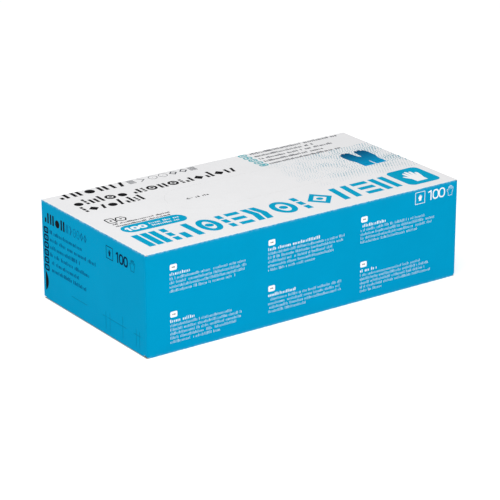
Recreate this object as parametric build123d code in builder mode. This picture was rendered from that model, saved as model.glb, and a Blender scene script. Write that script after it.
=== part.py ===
from build123d import *
import math
import os

# A folding carton that dispenses disposable gloves. Sizes are in millimetres and angles in degrees.
# +X runs along the long side, -Y faces the printed front, +Z is up, and the origin is the base's centre.
box_length = 240.0
box_width = 122.0
box_height = 67.0
board = 0.45  # thickness of the folding boxboard
layer_gap = 0.25  # clearance between two layers of board that slide past each other
crease_relief = 0.6  # boards that fold stop this far from the fold line, where real board is crushed

# The oval mouth in the top, and the perforated tear-out that fills it until the box is opened
mouth_length = 116.0
mouth_width = 42.0
mouth_centre_y = 8.0
tear_gap = 0.3  # width of the perforation's cut line
tie_length = 0.9  # one uncut tie, measured along the cut line
tie_reach = 0.2  # how far a tie reaches across the cut line
tie_pitch = 6.0
ties_round_end = 10

# End flaps hang from the top panel and tuck in over the bottom panel
flap_side_setback = 0.35
tongue_depth = 13.0
tongue_tilt = 9.5  # rise of the tucked tongue above the bottom panel
tongue_side_setback = 3.0
tongue_corner_radius = 9.0

# Dust flaps fold in behind the end flaps, from the front and back panels
dust_flap_length = 54.0
dust_flap_base = 3.6  # height of the lower edge, which clears the tongue below it
dust_flap_top_setback = 0.8
dust_flap_taper = 31.0  # fall of the upper edge, which lets the flap swing out under the end flap
dust_flap_lower_taper = 4.0
dust_flap_corner_radius = 5.0

# The glued seam where the back panel meets the bottom panel
seam_setback = 0.4
glue_flap_depth = 15.0
glue_flap_end_setback = 17.0  # stops short of the tucked tongues
glue_flap_end_chamfer = 6.0
glue_film = 0.05
glue_margin = 2.0

# One glove, flat, with its cuff at -X and its fingertips at +X
glove_length = 228.0
glove_thickness = 0.16  # two layers of film
glove_count = 100
gloves_per_bundle = 10
stack_base = 3.7
stack_top = 58.0
palm_centre_y = -7.0
cuff_width = 90.0
palm_width = 94.0
palm_start = -40.0
palm_end = 36.0
finger_width = 21.5
finger_tips = (92.0, 108.0, 114.0, 100.0)  # little finger to index finger
thumb_width = 25.0
thumb_root = (-26.0, 16.0)
thumb_reach = 62.0
thumb_angle = 27.0

half_length = box_length / 2
half_width = box_width / 2
under_top = box_height - board
inner_face_y = half_width - board
dust_flap_depth = board + layer_gap  # from the end plane to the dust flap's outer face
top_length = box_length - 2 * (board + crease_relief)
wall_length = box_length - 2 * (dust_flap_depth + board + crease_relief)
tongue_axis_z = 2 * board + layer_gap
end_flap_width = box_width - 2 * flap_side_setback
end_flap_height = under_top - tongue_axis_z - 2 * crease_relief
seam_z = board + glue_film
glove_pitch = (stack_top - glove_thickness - stack_base) / (glove_count - 1)

os.makedirs("parts", exist_ok=True)


def end_plane(side, depth):
    """A plane across one end, depth inside its face, with its normal outward and its Y axis up."""
    return Plane(
        origin=(side * (half_length - depth), 0, 0), x_dir=(0, side, 0), z_dir=(side, 0, 0)
    )


# Top panel, with the mouth cut through it
with BuildPart() as top_panel:
    with BuildSketch(Plane.XY.offset(under_top)):
        Rectangle(top_length, box_width)
        with Locations((0, mouth_centre_y)):
            SlotOverall(mouth_length, mouth_width, mode=Mode.SUBTRACT)
    extrude(amount=board)
top_panel.part.label = "top_panel"
export_step(top_panel.part, "parts/top_panel.step")

# Tear-out panel, inside the cut line
with BuildPart() as tear_out_panel:
    with BuildSketch(Plane.XY.offset(under_top)):
        with Locations((0, mouth_centre_y)):
            SlotOverall(mouth_length - 2 * tear_gap, mouth_width - 2 * tear_gap)
    extrude(amount=board)
tear_out_panel.part.label = "tear_out_panel"
export_step(tear_out_panel.part, "parts/tear_out_panel.step")

# Ties of the perforation: rows along the two straight sides and fans round the two ends
tie_radius = mouth_width / 2 - tear_gap + tie_reach / 2
straight_length = mouth_length - mouth_width
ties_per_side = int(straight_length // tie_pitch)
tie_fan_step = 180 / ties_round_end
with BuildPart() as tear_ties:
    with BuildSketch(Plane.XY.offset(under_top)):
        with Locations((0, mouth_centre_y)):
            with GridLocations(tie_pitch, 2 * tie_radius, ties_per_side, 2):
                Rectangle(tie_length, tie_reach)
        for side in (-1, 1):
            fan_start = 90 * (1 - side) - 90 + tie_fan_step / 2
            fan_range = 180 - tie_fan_step
            with Locations((side * straight_length / 2, mouth_centre_y)):
                with PolarLocations(tie_radius, ties_round_end, fan_start, fan_range, endpoint=True):
                    Rectangle(tie_reach, tie_length)
    extrude(amount=board)
tear_ties.part.label = "tear_ties"
export_step(tear_ties.part, "parts/tear_ties.step")

# Front panel
with BuildPart() as front_panel:
    with BuildSketch(Plane.XY.offset(board)):
        with Locations((0, -half_width)):
            Rectangle(wall_length, board, align=(Align.CENTER, Align.MIN))
    extrude(amount=under_top - board)
front_panel.part.label = "front_panel"
export_step(front_panel.part, "parts/front_panel.step")

# Back panel
with BuildPart() as back_panel:
    with BuildSketch(Plane.XY.offset(board)):
        with Locations((0, half_width)):
            Rectangle(wall_length, board, align=(Align.CENTER, Align.MAX))
    extrude(amount=under_top - board)
back_panel.part.label = "back_panel"
export_step(back_panel.part, "parts/back_panel.step")

# Bottom panel, whose cut edge stops just short of the back face and of the ends
with BuildPart() as bottom_panel:
    with BuildSketch(Plane.XY):
        with Locations((0, -half_width)):
            Rectangle(
                box_length - 2 * flap_side_setback,
                box_width - seam_setback,
                align=(Align.CENTER, Align.MIN),
            )
    extrude(amount=board)
bottom_panel.part.label = "bottom_panel"
export_step(bottom_panel.part, "parts/bottom_panel.step")

# Glue flap, folded in from the back panel onto the bottom panel, with its free corners cut back
glue_flap_length = box_length - 2 * glue_flap_end_setback
with BuildPart() as glue_flap:
    with BuildSketch(Plane.XY.offset(seam_z)) as glue_flap_outline:
        with Locations((0, inner_face_y)):
            Rectangle(glue_flap_length, glue_flap_depth, align=(Align.CENTER, Align.MAX))
        free_corners = glue_flap_outline.vertices().group_by(Axis.Y)[0]
        chamfer(free_corners, length=glue_flap_end_chamfer)
    extrude(amount=board)
glue_flap.part.label = "glue_flap"
export_step(glue_flap.part, "parts/glue_flap.step")

# Film of adhesive under the glue flap
with BuildPart() as glue_seam:
    with BuildSketch(Plane.XY.offset(board)):
        with Locations((0, inner_face_y - glue_margin)):
            Rectangle(
                glue_flap_length - 2 * (glue_flap_end_chamfer + glue_margin),
                glue_flap_depth - 2 * glue_margin,
                align=(Align.CENTER, Align.MAX),
            )
    extrude(amount=glue_film)
glue_seam.part.label = "glue_seam"
export_step(glue_seam.part, "parts/glue_seam.step")

for side, end in ((-1, "left"), (1, "right")):
    # End flap, from the tongue's fold line up to the fold line at the top panel
    with BuildPart() as end_flap:
        with BuildSketch(end_plane(side, 0)):
            with Locations((0, tongue_axis_z + crease_relief)):
                Rectangle(end_flap_width, end_flap_height, align=(Align.CENTER, Align.MIN))
        extrude(amount=-board)
    end_flap.part.label = f"{end}_end_flap"
    export_step(end_flap.part, f"parts/{end}_end_flap.step")

    # Tuck tongue, which rises inward from its fold line at the foot of the end flap
    tilt = math.radians(tongue_tilt)
    tongue_plane = Plane(
        origin=(side * (half_length - board), 0, tongue_axis_z),
        x_dir=(0, side, 0),
        z_dir=(side * math.sin(tilt), 0, math.cos(tilt)),
    )
    with BuildPart() as tuck_tongue:
        with BuildSketch(tongue_plane) as tongue_outline:
            with Locations((0, crease_relief)):
                Rectangle(
                    end_flap_width - 2 * tongue_side_setback,
                    tongue_depth - crease_relief,
                    align=(Align.CENTER, Align.MIN),
                )
            tip_corners = tongue_outline.vertices().group_by(Axis.Y)[-1]
            fillet(tip_corners, radius=tongue_corner_radius)
        extrude(amount=-board)
    tuck_tongue.part.label = f"{end}_tuck_tongue"
    export_step(tuck_tongue.part, f"parts/{end}_tuck_tongue.step")

    # Dust flaps, folded in behind the end flap from the front and the back panel
    for face, wall in ((-1, "front"), (1, "back")):
        crease_x = side * face * (inner_face_y - crease_relief)
        tip_x = side * face * (inner_face_y - dust_flap_length)
        crease_top = under_top - dust_flap_top_setback
        tip_top = crease_top - dust_flap_length * math.tan(math.radians(dust_flap_taper))
        tip_base = dust_flap_base + dust_flap_length * math.tan(math.radians(dust_flap_lower_taper))
        with BuildPart() as dust_flap:
            with BuildSketch(end_plane(side, dust_flap_depth)) as dust_outline:
                with BuildLine():
                    Polyline(
                        (crease_x, dust_flap_base),
                        (tip_x, tip_base),
                        (tip_x, tip_top),
                        (crease_x, crease_top),
                        close=True,
                    )
                make_face()
                tip_corners = dust_outline.vertices().sort_by_distance((0, tip_base))[0:2]
                fillet(tip_corners, radius=dust_flap_corner_radius)
            extrude(amount=-board)
        dust_flap.part.label = f"{end}_{wall}_dust_flap"
        export_step(dust_flap.part, f"parts/{end}_{wall}_dust_flap.step")

# Outline of one flat glove: cuff, palm, four fingers side by side and a thumb at an angle
with BuildSketch() as glove_outline:
    with Locations((-glove_length / 2, palm_centre_y)):
        Rectangle(
            glove_length / 2 + palm_start, cuff_width, align=(Align.MIN, Align.CENTER)
        )
    with Locations((palm_start, palm_centre_y)):
        Rectangle(palm_end - palm_start, palm_width, align=(Align.MIN, Align.CENTER))
    finger_pitch = (palm_width - finger_width) / (len(finger_tips) - 1)
    for index, tip in enumerate(finger_tips):
        finger_y = palm_centre_y - palm_width / 2 + finger_width / 2 + index * finger_pitch
        with Locations((tip, finger_y)):
            SlotOverall(tip - palm_start, finger_width, align=(Align.MAX, Align.CENTER))
    thumb_middle_x = thumb_root[0] + thumb_reach / 2 * math.cos(math.radians(thumb_angle))
    thumb_middle_y = thumb_root[1] + thumb_reach / 2 * math.sin(math.radians(thumb_angle))
    with Locations((thumb_middle_x, thumb_middle_y)):
        SlotCenterToCenter(thumb_reach, thumb_width, rotation=thumb_angle)


def glove_plane(level):
    """The plane of one glove in the stack. Each glove lies the other way round from the one below."""
    height = stack_base + level * glove_pitch
    return Plane(origin=(0, 0, height), x_dir=(-1 if level % 2 else 1, 0, 0), z_dir=(0, 0, 1))


# Stack of gloves in bundles. The top glove, which lies under the mouth, is a piece of its own.
top_level = glove_count - 1
for bundle in range(glove_count // gloves_per_bundle):
    first_level = bundle * gloves_per_bundle
    end_level = min(first_level + gloves_per_bundle, top_level)
    with BuildPart() as glove_bundle:
        for level in range(first_level, end_level):
            with BuildSketch(glove_plane(level)):
                add(glove_outline.sketch)
            extrude(amount=glove_thickness)
    bundle_name = f"glove_bundle_{bundle + 1:02d}"
    glove_bundle.part.label = bundle_name
    export_step(glove_bundle.part, f"parts/{bundle_name}.step")

with BuildPart() as top_glove:
    with BuildSketch(glove_plane(top_level)):
        add(glove_outline.sketch)
    extrude(amount=glove_thickness)
top_glove.part.label = "top_glove"
export_step(top_glove.part, "parts/top_glove.step")
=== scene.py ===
"""Dispensing carton of disposable gloves: boards, print, gloves and stage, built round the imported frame."""
import math

import bmesh
import bpy
import numpy as np
from bpy.props import FloatProperty, FloatVectorProperty, IntProperty, PointerProperty
from bpy.types import Operator, Panel, PropertyGroup
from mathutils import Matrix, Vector


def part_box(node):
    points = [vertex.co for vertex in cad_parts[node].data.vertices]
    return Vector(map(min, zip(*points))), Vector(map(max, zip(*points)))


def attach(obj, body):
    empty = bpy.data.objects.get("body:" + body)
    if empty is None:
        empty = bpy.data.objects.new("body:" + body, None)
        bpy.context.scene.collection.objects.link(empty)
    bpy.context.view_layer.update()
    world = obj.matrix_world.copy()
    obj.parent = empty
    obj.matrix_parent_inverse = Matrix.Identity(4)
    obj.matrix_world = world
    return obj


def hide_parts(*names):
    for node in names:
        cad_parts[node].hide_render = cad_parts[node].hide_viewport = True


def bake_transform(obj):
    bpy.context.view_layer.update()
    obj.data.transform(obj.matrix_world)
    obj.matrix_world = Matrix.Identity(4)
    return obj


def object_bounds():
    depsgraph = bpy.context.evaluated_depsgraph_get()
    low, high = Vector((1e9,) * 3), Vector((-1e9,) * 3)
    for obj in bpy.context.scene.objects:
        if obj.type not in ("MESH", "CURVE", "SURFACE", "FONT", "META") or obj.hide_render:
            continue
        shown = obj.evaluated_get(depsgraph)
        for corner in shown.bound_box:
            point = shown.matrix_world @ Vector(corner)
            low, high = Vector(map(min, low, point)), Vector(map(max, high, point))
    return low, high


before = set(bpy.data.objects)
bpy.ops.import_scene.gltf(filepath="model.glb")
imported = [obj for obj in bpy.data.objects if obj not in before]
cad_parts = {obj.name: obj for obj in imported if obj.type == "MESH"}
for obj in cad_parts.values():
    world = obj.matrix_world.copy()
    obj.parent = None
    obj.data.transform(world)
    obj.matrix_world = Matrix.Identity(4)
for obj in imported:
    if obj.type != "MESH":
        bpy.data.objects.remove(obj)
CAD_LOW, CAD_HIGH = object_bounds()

bl_info = {
    "name": "Glove Dispenser Carton",
    "version": (1, 0, 0),
    "blender": (4, 5, 0),
    "location": "3D View > Sidebar > Carton",
    "description": "Builds a folding carton of disposable gloves with its print and its stage",
    "category": "Object",
}

MM = 0.001
LENGTH, WIDTH, HEIGHT = (np.array(CAD_HIGH) - np.array(CAD_LOW)) / MM
HALF_LENGTH, HALF_WIDTH = LENGTH / 2, WIDTH / 2
MOUTH_LOW, MOUTH_HIGH = (np.array(corner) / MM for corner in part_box("tear_out_panel"))

INSET = 0.03  # the board's face lies this far inside the CAD box, which leaves room for the ink
CREASE_STEPS = 5
CREASE_MARGIN = 0.6
CREASE_DEPTH = 0.45  # how far below the top a crease reaches
SHARP_ANGLE = math.radians(38)
PANEL_STEP, FAR_FROM_FOLD = 5.0, 9.0
OVAL_STEPS = 28  # points round each end of the mouth
INK_LAYERS = ((0.003, 0.009), (0.010, 0.016), (0.017, 0.023))  # lowest and highest lift of each ink layer
INK_SPAN = 7.0  # longest run of ink before it is cut to follow the bowed board
COATING_SPECULAR = 0.08
INK_SPECULAR = 0.005  # deep-coloured ink under a dull varnish keeps its colour at every angle
CAMERA_AIM = (-1.44, 0.0, 25.68)
SIDES = ((-1, "left"), (1, "right"))
FACES = ((-1, "front"), (1, "back"))


# ---------------------------------------------------------------- settings

class CartonBoardSettings(PropertyGroup):
    caliper: FloatProperty(
        name="Caliper", description="Thickness of the boxboard", default=0.00042, unit="LENGTH"
    )
    crease_radius: FloatProperty(
        name="Crease Radius", description="Outer radius of a fold", default=0.00055, unit="LENGTH"
    )
    top_bow: FloatProperty(
        name="Top Bow", description="How far the top sinks at its middle", default=0.0004,
        unit="LENGTH",
    )
    wall_bow: FloatProperty(
        name="Wall Bow", description="How far the long walls sink", default=0.0003, unit="LENGTH"
    )
    end_bow: FloatProperty(
        name="End Bow", description="How far the end flaps sink", default=0.00012, unit="LENGTH"
    )
    kerf: FloatProperty(
        name="Kerf", description="Width of the perforated cut", default=0.00005, unit="LENGTH"
    )
    tie_count: IntProperty(
        name="Ties", description="Uncut ties round the tear-out", default=44, min=4
    )


class CartonPrintSettings(PropertyGroup):
    white: FloatVectorProperty(
        name="Coated White", description="Unprinted face of the board", subtype="COLOR",
        default=(0.80, 0.80, 0.81),
    )
    blue: FloatVectorProperty(
        name="Carton Blue", description="Main colour of the walls and headline", subtype="COLOR",
        default=(0.0, 0.285, 0.505),
    )
    dot_pitch: FloatProperty(
        name="Dot Pitch", description="Spacing of the dot screen", default=0.0021, unit="LENGTH"
    )
    dot_radius: FloatProperty(
        name="Dot Radius", description="Largest dot of the screen", default=0.00068, unit="LENGTH"
    )


class CartonGloveSettings(PropertyGroup):
    colour: FloatVectorProperty(
        name="Nitrile", description="Colour of the gloves", subtype="COLOR",
        default=(0.035, 0.17, 0.46),
    )
    ripple: FloatProperty(
        name="Ripple", description="Rise and fall of the top of the stack", default=0.0016,
        unit="LENGTH",
    )
    stray: FloatProperty(
        name="Stray", description="How far one glove lies from the next", default=0.0009,
        unit="LENGTH",
    )


class CartonStageSettings(PropertyGroup):
    azimuth: FloatProperty(
        name="Azimuth", description="Camera turn about the carton",
        default=math.radians(-35.121), subtype="ANGLE",
    )
    elevation: FloatProperty(
        name="Elevation", description="Camera height above the horizon",
        default=math.radians(20.815), subtype="ANGLE",
    )
    distance: FloatProperty(
        name="Distance", description="Camera to aim point", default=1.4653, unit="LENGTH"
    )
    lens: FloatProperty(name="Lens", description="Focal length in millimetres", default=163.52)
    world_light: FloatProperty(
        name="Surround Light", description="Strength of the even surround", default=0.56
    )
    floor_glow: FloatProperty(
        name="Floor Glow", description="Light the backdrop floor gives off", default=0.44
    )


# ---------------------------------------------------------------- node helpers

def add_node(tree, kind, inputs=(), **options):
    """Adds a node, sets its options, and links or sets its inputs by name or index."""
    made = tree.nodes.new(kind)
    for key, value in options.items():
        setattr(made, key, value)
    for key, value in dict(inputs).items():
        if isinstance(value, bpy.types.NodeSocket):
            tree.links.new(value, made.inputs[key])
        else:
            made.inputs[key].default_value = value
    return made


def calc(tree, operation, first, second=None):
    """A Math node's result."""
    values = {i: v for i, v in enumerate((first, second)) if v is not None}
    return add_node(tree, "ShaderNodeMath", values, operation=operation).outputs[0]


def remap(tree, value, low, high, to_low, to_high):
    """A value mapped from one range to another, and held inside it."""
    node = add_node(tree, "ShaderNodeMapRange", {
        "Value": value, "From Min": low, "From Max": high, "To Min": to_low, "To Max": to_high,
    })
    return node.outputs[0]


def blend_colour(tree, factor, first, second):
    """Two colours mixed by a factor."""
    node = add_node(tree, "ShaderNodeMix", data_type="RGBA")
    for socket, value in ((node.inputs[0], factor), (node.inputs[6], first), (node.inputs[7], second)):
        if isinstance(value, bpy.types.NodeSocket):
            tree.links.new(value, socket)
        else:
            socket.default_value = (*value, 1.0) if isinstance(value, tuple) else value
    return node.outputs[2]


def grain(tree, coords, scale, detail=3.0, roughness=0.55, stretch=None):
    """Noise on object coordinates, stretched along an axis where asked."""
    if stretch:
        coords = add_node(tree, "ShaderNodeMapping", {"Vector": coords, "Scale": stretch}).outputs[0]
    node = add_node(tree, "ShaderNodeTexNoise", {
        "Vector": coords, "Scale": scale, "Detail": detail, "Roughness": roughness,
    })
    return node.outputs[0]


def tint(colour, factor):
    """A colour made lighter or darker."""
    return tuple(min(1.0, channel * factor) for channel in colour)


def new_material(name):
    """An empty node material with its shader and object coordinates."""
    material = bpy.data.materials.new(name)
    material.use_nodes = True
    tree = material.node_tree
    shader = tree.nodes["Principled BSDF"]
    coords = tree.nodes.new("ShaderNodeTexCoord").outputs["Object"]
    return material, tree, shader, coords


def emboss(tree, shader, height, strength, depth):
    """Bump from a height value."""
    bump = add_node(tree, "ShaderNodeBump", {
        "Height": height, "Strength": strength, "Distance": depth,
    })
    tree.links.new(bump.outputs[0], shader.inputs["Normal"])


# ---------------------------------------------------------------- materials

def varnished_print(name, colour, mottle=0.025, gloss=0.44, worn=False, fade=None, specular=INK_SPECULAR):
    """Ink or white coating on board under a satin varnish, with faint mottling and fibre."""
    material, tree, shader, coords = new_material(name)
    cloud = remap(tree, grain(tree, coords, 45.0, 4.0), 0.3, 0.7, 0.0, 1.0)
    base = colour
    if fade:
        axis, start, end, second = fade
        split = add_node(tree, "ShaderNodeSeparateXYZ", {0: coords})
        base = blend_colour(tree, remap(tree, split.outputs[axis], start, end, 0.0, 1.0), colour, second)
        tone = blend_colour(tree, calc(tree, "MULTIPLY", cloud, mottle * 4), base, tint(colour, 0.8))
    else:
        tone = blend_colour(tree, cloud, tint(colour, 1 - mottle), tint(colour, 1 + mottle))
    speck = remap(tree, grain(tree, coords, 900.0, 2.0), 0.62, 0.74, 0.0, 0.10)
    tone = blend_colour(tree, speck, tone, tint(colour, 0.82))
    if worn:
        rub = add_node(tree, "ShaderNodeAttribute", attribute_name="wear").outputs["Fac"]
        patch = remap(tree, grain(tree, coords, 520.0, 4.0), 0.42, 0.66, 0.15, 1.0)
        rubbed = calc(tree, "MULTIPLY", calc(tree, "MULTIPLY", rub, patch), 0.55)
        tone = blend_colour(tree, rubbed, tone, (0.82, 0.84, 0.86))
    tree.links.new(tone, shader.inputs["Base Color"])
    tree.links.new(
        remap(tree, grain(tree, coords, 160.0, 3.0), 0.3, 0.7, gloss - 0.05, gloss + 0.07),
        shader.inputs["Roughness"],
    )
    fibre = grain(tree, coords, 2400.0, 3.0, stretch=(1.0, 1.6, 1.6))
    swell = grain(tree, coords, 130.0, 2.0)
    emboss(tree, shader, calc(tree, "ADD", fibre, calc(tree, "MULTIPLY", swell, 2.2)), 0.22, 0.00006)
    shader.inputs["Specular IOR Level"].default_value = specular
    return material


def raw_boxboard(name, colour):
    """Uncoated inside of the board: matt, greyish, with flecks and long fibres."""
    material, tree, shader, coords = new_material(name)
    fibre = grain(tree, coords, 700.0, 5.0, 0.7, stretch=(0.35, 1.0, 1.0))
    tone = blend_colour(tree, remap(tree, fibre, 0.3, 0.7, 0.0, 1.0), tint(colour, 0.88), tint(colour, 1.06))
    fleck = remap(tree, grain(tree, coords, 480.0, 2.0), 0.68, 0.76, 0.0, 0.45)
    tone = blend_colour(tree, fleck, tone, (0.30, 0.27, 0.23))
    tree.links.new(tone, shader.inputs["Base Color"])
    tree.links.new(remap(tree, fibre, 0.2, 0.8, 0.78, 0.95), shader.inputs["Roughness"])
    emboss(tree, shader, fibre, 0.5, 0.00008)
    shader.inputs["Specular IOR Level"].default_value = 0.25
    return material


def cut_board(name, colour):
    """Cut edge of the board, with its plies running along the cut."""
    material, tree, shader, coords = new_material(name)
    ply = grain(tree, coords, 6000.0, 2.0, stretch=(0.15, 0.15, 1.0))
    tone = blend_colour(tree, remap(tree, ply, 0.35, 0.65, 0.0, 1.0), tint(colour, 0.8), colour)
    tree.links.new(tone, shader.inputs["Base Color"])
    tree.links.new(remap(tree, ply, 0.2, 0.8, 0.8, 0.95), shader.inputs["Roughness"])
    emboss(tree, shader, ply, 0.6, 0.00005)
    return material


def dried_adhesive(name):
    """Cloudy film of dried carton adhesive."""
    material, tree, shader, coords = new_material(name)
    cloud = remap(tree, grain(tree, coords, 260.0, 4.0), 0.35, 0.65, 0.0, 1.0)
    tone = blend_colour(tree, cloud, (0.62, 0.55, 0.38), (0.78, 0.74, 0.6))
    tree.links.new(tone, shader.inputs["Base Color"])
    tree.links.new(remap(tree, cloud, 0.0, 1.0, 0.3, 0.5), shader.inputs["Roughness"])
    emboss(tree, shader, cloud, 0.3, 0.0001)
    return material


def nitrile_film(name, colour):
    """Thin blue nitrile: slightly sheer, finely textured and creased."""
    material, tree, shader, coords = new_material(name)
    fold = grain(tree, coords, 55.0, 5.0, 0.6, stretch=(0.5, 1.0, 1.0))
    tone = blend_colour(tree, remap(tree, fold, 0.3, 0.7, 0.0, 1.0), tint(colour, 0.75), tint(colour, 1.35))
    tree.links.new(tone, shader.inputs["Base Color"])
    dullness = remap(tree, grain(tree, coords, 300.0, 3.0), 0.3, 0.7, 0.36, 0.52)
    tree.links.new(dullness, shader.inputs["Roughness"])
    pore = grain(tree, coords, 2600.0, 2.0)
    crease = grain(tree, coords, 210.0, 4.0, stretch=(0.6, 1.0, 1.0))
    height = calc(tree, "ADD", calc(tree, "MULTIPLY", pore, 0.12), crease)
    emboss(tree, shader, height, 0.55, 0.0005)
    shader.inputs["Sheen Weight"].default_value = 0.25
    shader.inputs["Sheen Roughness"].default_value = 0.4
    shader.inputs["Subsurface Weight"].default_value = 0.08
    shader.inputs["Subsurface Radius"].default_value = (0.0004, 0.0008, 0.002)
    shader.inputs["Specular IOR Level"].default_value = 0.45
    return material


def backdrop_floor(name, glow):
    """Matt pale studio floor that gives off a little light, so that it stays clean."""
    material, tree, shader, coords = new_material(name)
    cloud = remap(tree, grain(tree, coords, 3.0, 3.0), 0.3, 0.7, 0.0, 1.0)
    tone = blend_colour(tree, cloud, (0.80, 0.80, 0.80), (0.84, 0.84, 0.84))
    tree.links.new(tone, shader.inputs["Base Color"])
    tree.links.new(remap(tree, cloud, 0.0, 1.0, 0.86, 0.94), shader.inputs["Roughness"])
    shader.inputs["Specular IOR Level"].default_value = 0.1
    shader.inputs["Emission Color"].default_value = (1.0, 1.0, 1.0, 1.0)
    shader.inputs["Emission Strength"].default_value = glow
    return material


def finish_of(name):
    """One of the carton's finishes, made the first time that it is asked for."""
    if name in bpy.data.materials:
        return bpy.data.materials[name]
    look = bpy.context.scene.carton_print
    white, blue = tuple(look.white), tuple(look.blue)
    icon_top, icon_foot = (HALF_WIDTH - 38) * MM, (HALF_WIDTH - 66) * MM
    makers = {
        "white_coating": lambda n: varnished_print(n, white, 0.012, worn=True, specular=COATING_SPECULAR),
        "blue_coating": lambda n: varnished_print(n, blue, 0.02, worn=True),
        "white_print": lambda n: varnished_print(n, tint(white, 1.08), 0.01),
        "blue_print": lambda n: varnished_print(n, (0.0, blue[1] * 1.18, blue[2] * 1.08), 0.03),
        "black_print": lambda n: varnished_print(n, (0.006, 0.006, 0.007), 0.15, 0.34),
        "grey_print": lambda n: varnished_print(n, (0.06, 0.06, 0.065), 0.05),
        "soft_grey_print": lambda n: varnished_print(n, (0.10, 0.105, 0.12), 0.05),
        "navy_print": lambda n: varnished_print(n, (0.001, 0.02, 0.055), 0.06),
        "deep_blue_print": lambda n: varnished_print(n, (0.0, 0.085, 0.20), 0.04),
        # the wall blue darkened to 0.6: painted shade for the pressed lines of the end flaps, not an ink
        "painted_shade_blue": lambda n: varnished_print(n, tint(blue, 0.6), 0.03),
        "teal_print": lambda n: varnished_print(n, (0.03, 0.36, 0.42), 0.04),
        "screen_print": lambda n: varnished_print(n, (0.0, 0.27, 0.38), 0.1),
        "icon_print": lambda n: varnished_print(
            n, (0.0, 0.065, 0.165), 0.02, fade=(1, icon_top, icon_foot, (0.0, 0.32, 0.6))
        ),
        "raw_board": lambda n: raw_boxboard(n, (0.56, 0.54, 0.50)),
        "cut_board": lambda n: cut_board(n, (0.66, 0.65, 0.62)),
        "dried_adhesive": dried_adhesive,
        "blue_nitrile": lambda n: nitrile_film(n, tuple(bpy.context.scene.carton_gloves.colour)),
    }
    return makers[name](name)


WHITE_BOARD = ("white_coating", "raw_board", "cut_board")
BLUE_BOARD = ("blue_coating", "raw_board", "cut_board")


# ---------------------------------------------------------------- faces of the carton

class Page:
    """One face of the carton as it is read: x runs right and y runs down, in millimetres."""

    def __init__(self, corner, right, down, length, drop, bow=0.0, marks=()):
        self.corner, self.right, self.down = (np.array(v, float) for v in (corner, right, down))
        self.out = -np.cross(self.right, self.down)
        self.length, self.drop, self.bow, self.marks = length, drop, bow, marks

    def sink(self, x, y):
        """Depth of the board's printed face below the plane of the CAD box."""
        hump = 1.0
        for value, size in ((x, self.length), (y, self.drop)):
            share = np.clip((value - CREASE_MARGIN) / (size - 2 * CREASE_MARGIN), 0, 1)
            hump = hump * (1 - (2 * share - 1) ** 2)
        depth = INSET + self.bow * hump
        for x0, y0, x1, y1, press in self.marks:
            across = np.hypot(x - np.clip(x, x0, x1), y - np.clip(y, y0, y1))
            depth = depth + press * np.exp(-((across / 0.32) ** 2))
        return depth

    def place(self, x, y, lift):
        """Points of the page, raised from the printed face, in the frame's metres."""
        x, y, lift = (np.asarray(v, float) for v in (x, y, lift))
        depth = self.sink(x, y) - lift
        spread = [np.multiply.outer(v, d) for v, d in ((x, self.right), (y, self.down), (depth, -self.out))]
        return (self.corner + sum(spread)) * MM


# Pressed lines near the foot of each end flap: x0, y0, x1, y1 and depth, in millimetres; the end print also
# paints shade along them
END_MARKS = (
    (34, 54.6, 53, 54.6, 0.10), (72, 54.6, 99, 54.6, 0.16), (106, 54.6, 115, 54.6, 0.14),
    (75.5, 49.5, 75.5, 63.5, 0.13), (80.3, 51, 80.3, 63.5, 0.11), (95, 48.5, 95, 64, 0.14),
    (110.2, 51, 110.2, 64, 0.14), (114, 52, 114, 64, 0.11),
)


def page_of(face):
    """The page of a named face."""
    board = bpy.context.scene.carton_board
    top, wall, end = (v / MM for v in (board.top_bow, board.wall_bow, board.end_bow))
    a, b, h = HALF_LENGTH, HALF_WIDTH, HEIGHT
    return {
        "top": lambda: Page((-a, b, h), (1, 0, 0), (0, -1, 0), LENGTH, WIDTH, top),
        "bottom": lambda: Page((-a, -b, 0), (1, 0, 0), (0, 1, 0), LENGTH, WIDTH, 0.0),
        "front": lambda: Page((-a, -b, h), (1, 0, 0), (0, 0, -1), LENGTH, HEIGHT, wall),
        "back": lambda: Page((a, b, h), (-1, 0, 0), (0, 0, -1), LENGTH, HEIGHT, wall),
        "left": lambda: Page((-a, b, h), (0, -1, 0), (0, 0, -1), WIDTH, HEIGHT, end, END_MARKS),
        "right": lambda: Page((a, -b, h), (0, 1, 0), (0, 0, -1), WIDTH, HEIGHT, end, END_MARKS),
    }[face]()


# ---------------------------------------------------------------- meshes

def make_object(name, mesh):
    """Links a mesh as an object of that name at the origin."""
    mesh.name = name
    made = bpy.data.objects.new(name, mesh)
    bpy.context.collection.objects.link(made)
    return made


def close_normals(mesh):
    """Turns every closed shell of a mesh to face outwards."""
    bm = bmesh.new()
    bm.from_mesh(mesh)
    bmesh.ops.recalc_face_normals(bm, faces=bm.faces)
    bm.to_mesh(mesh)
    bm.free()


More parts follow.
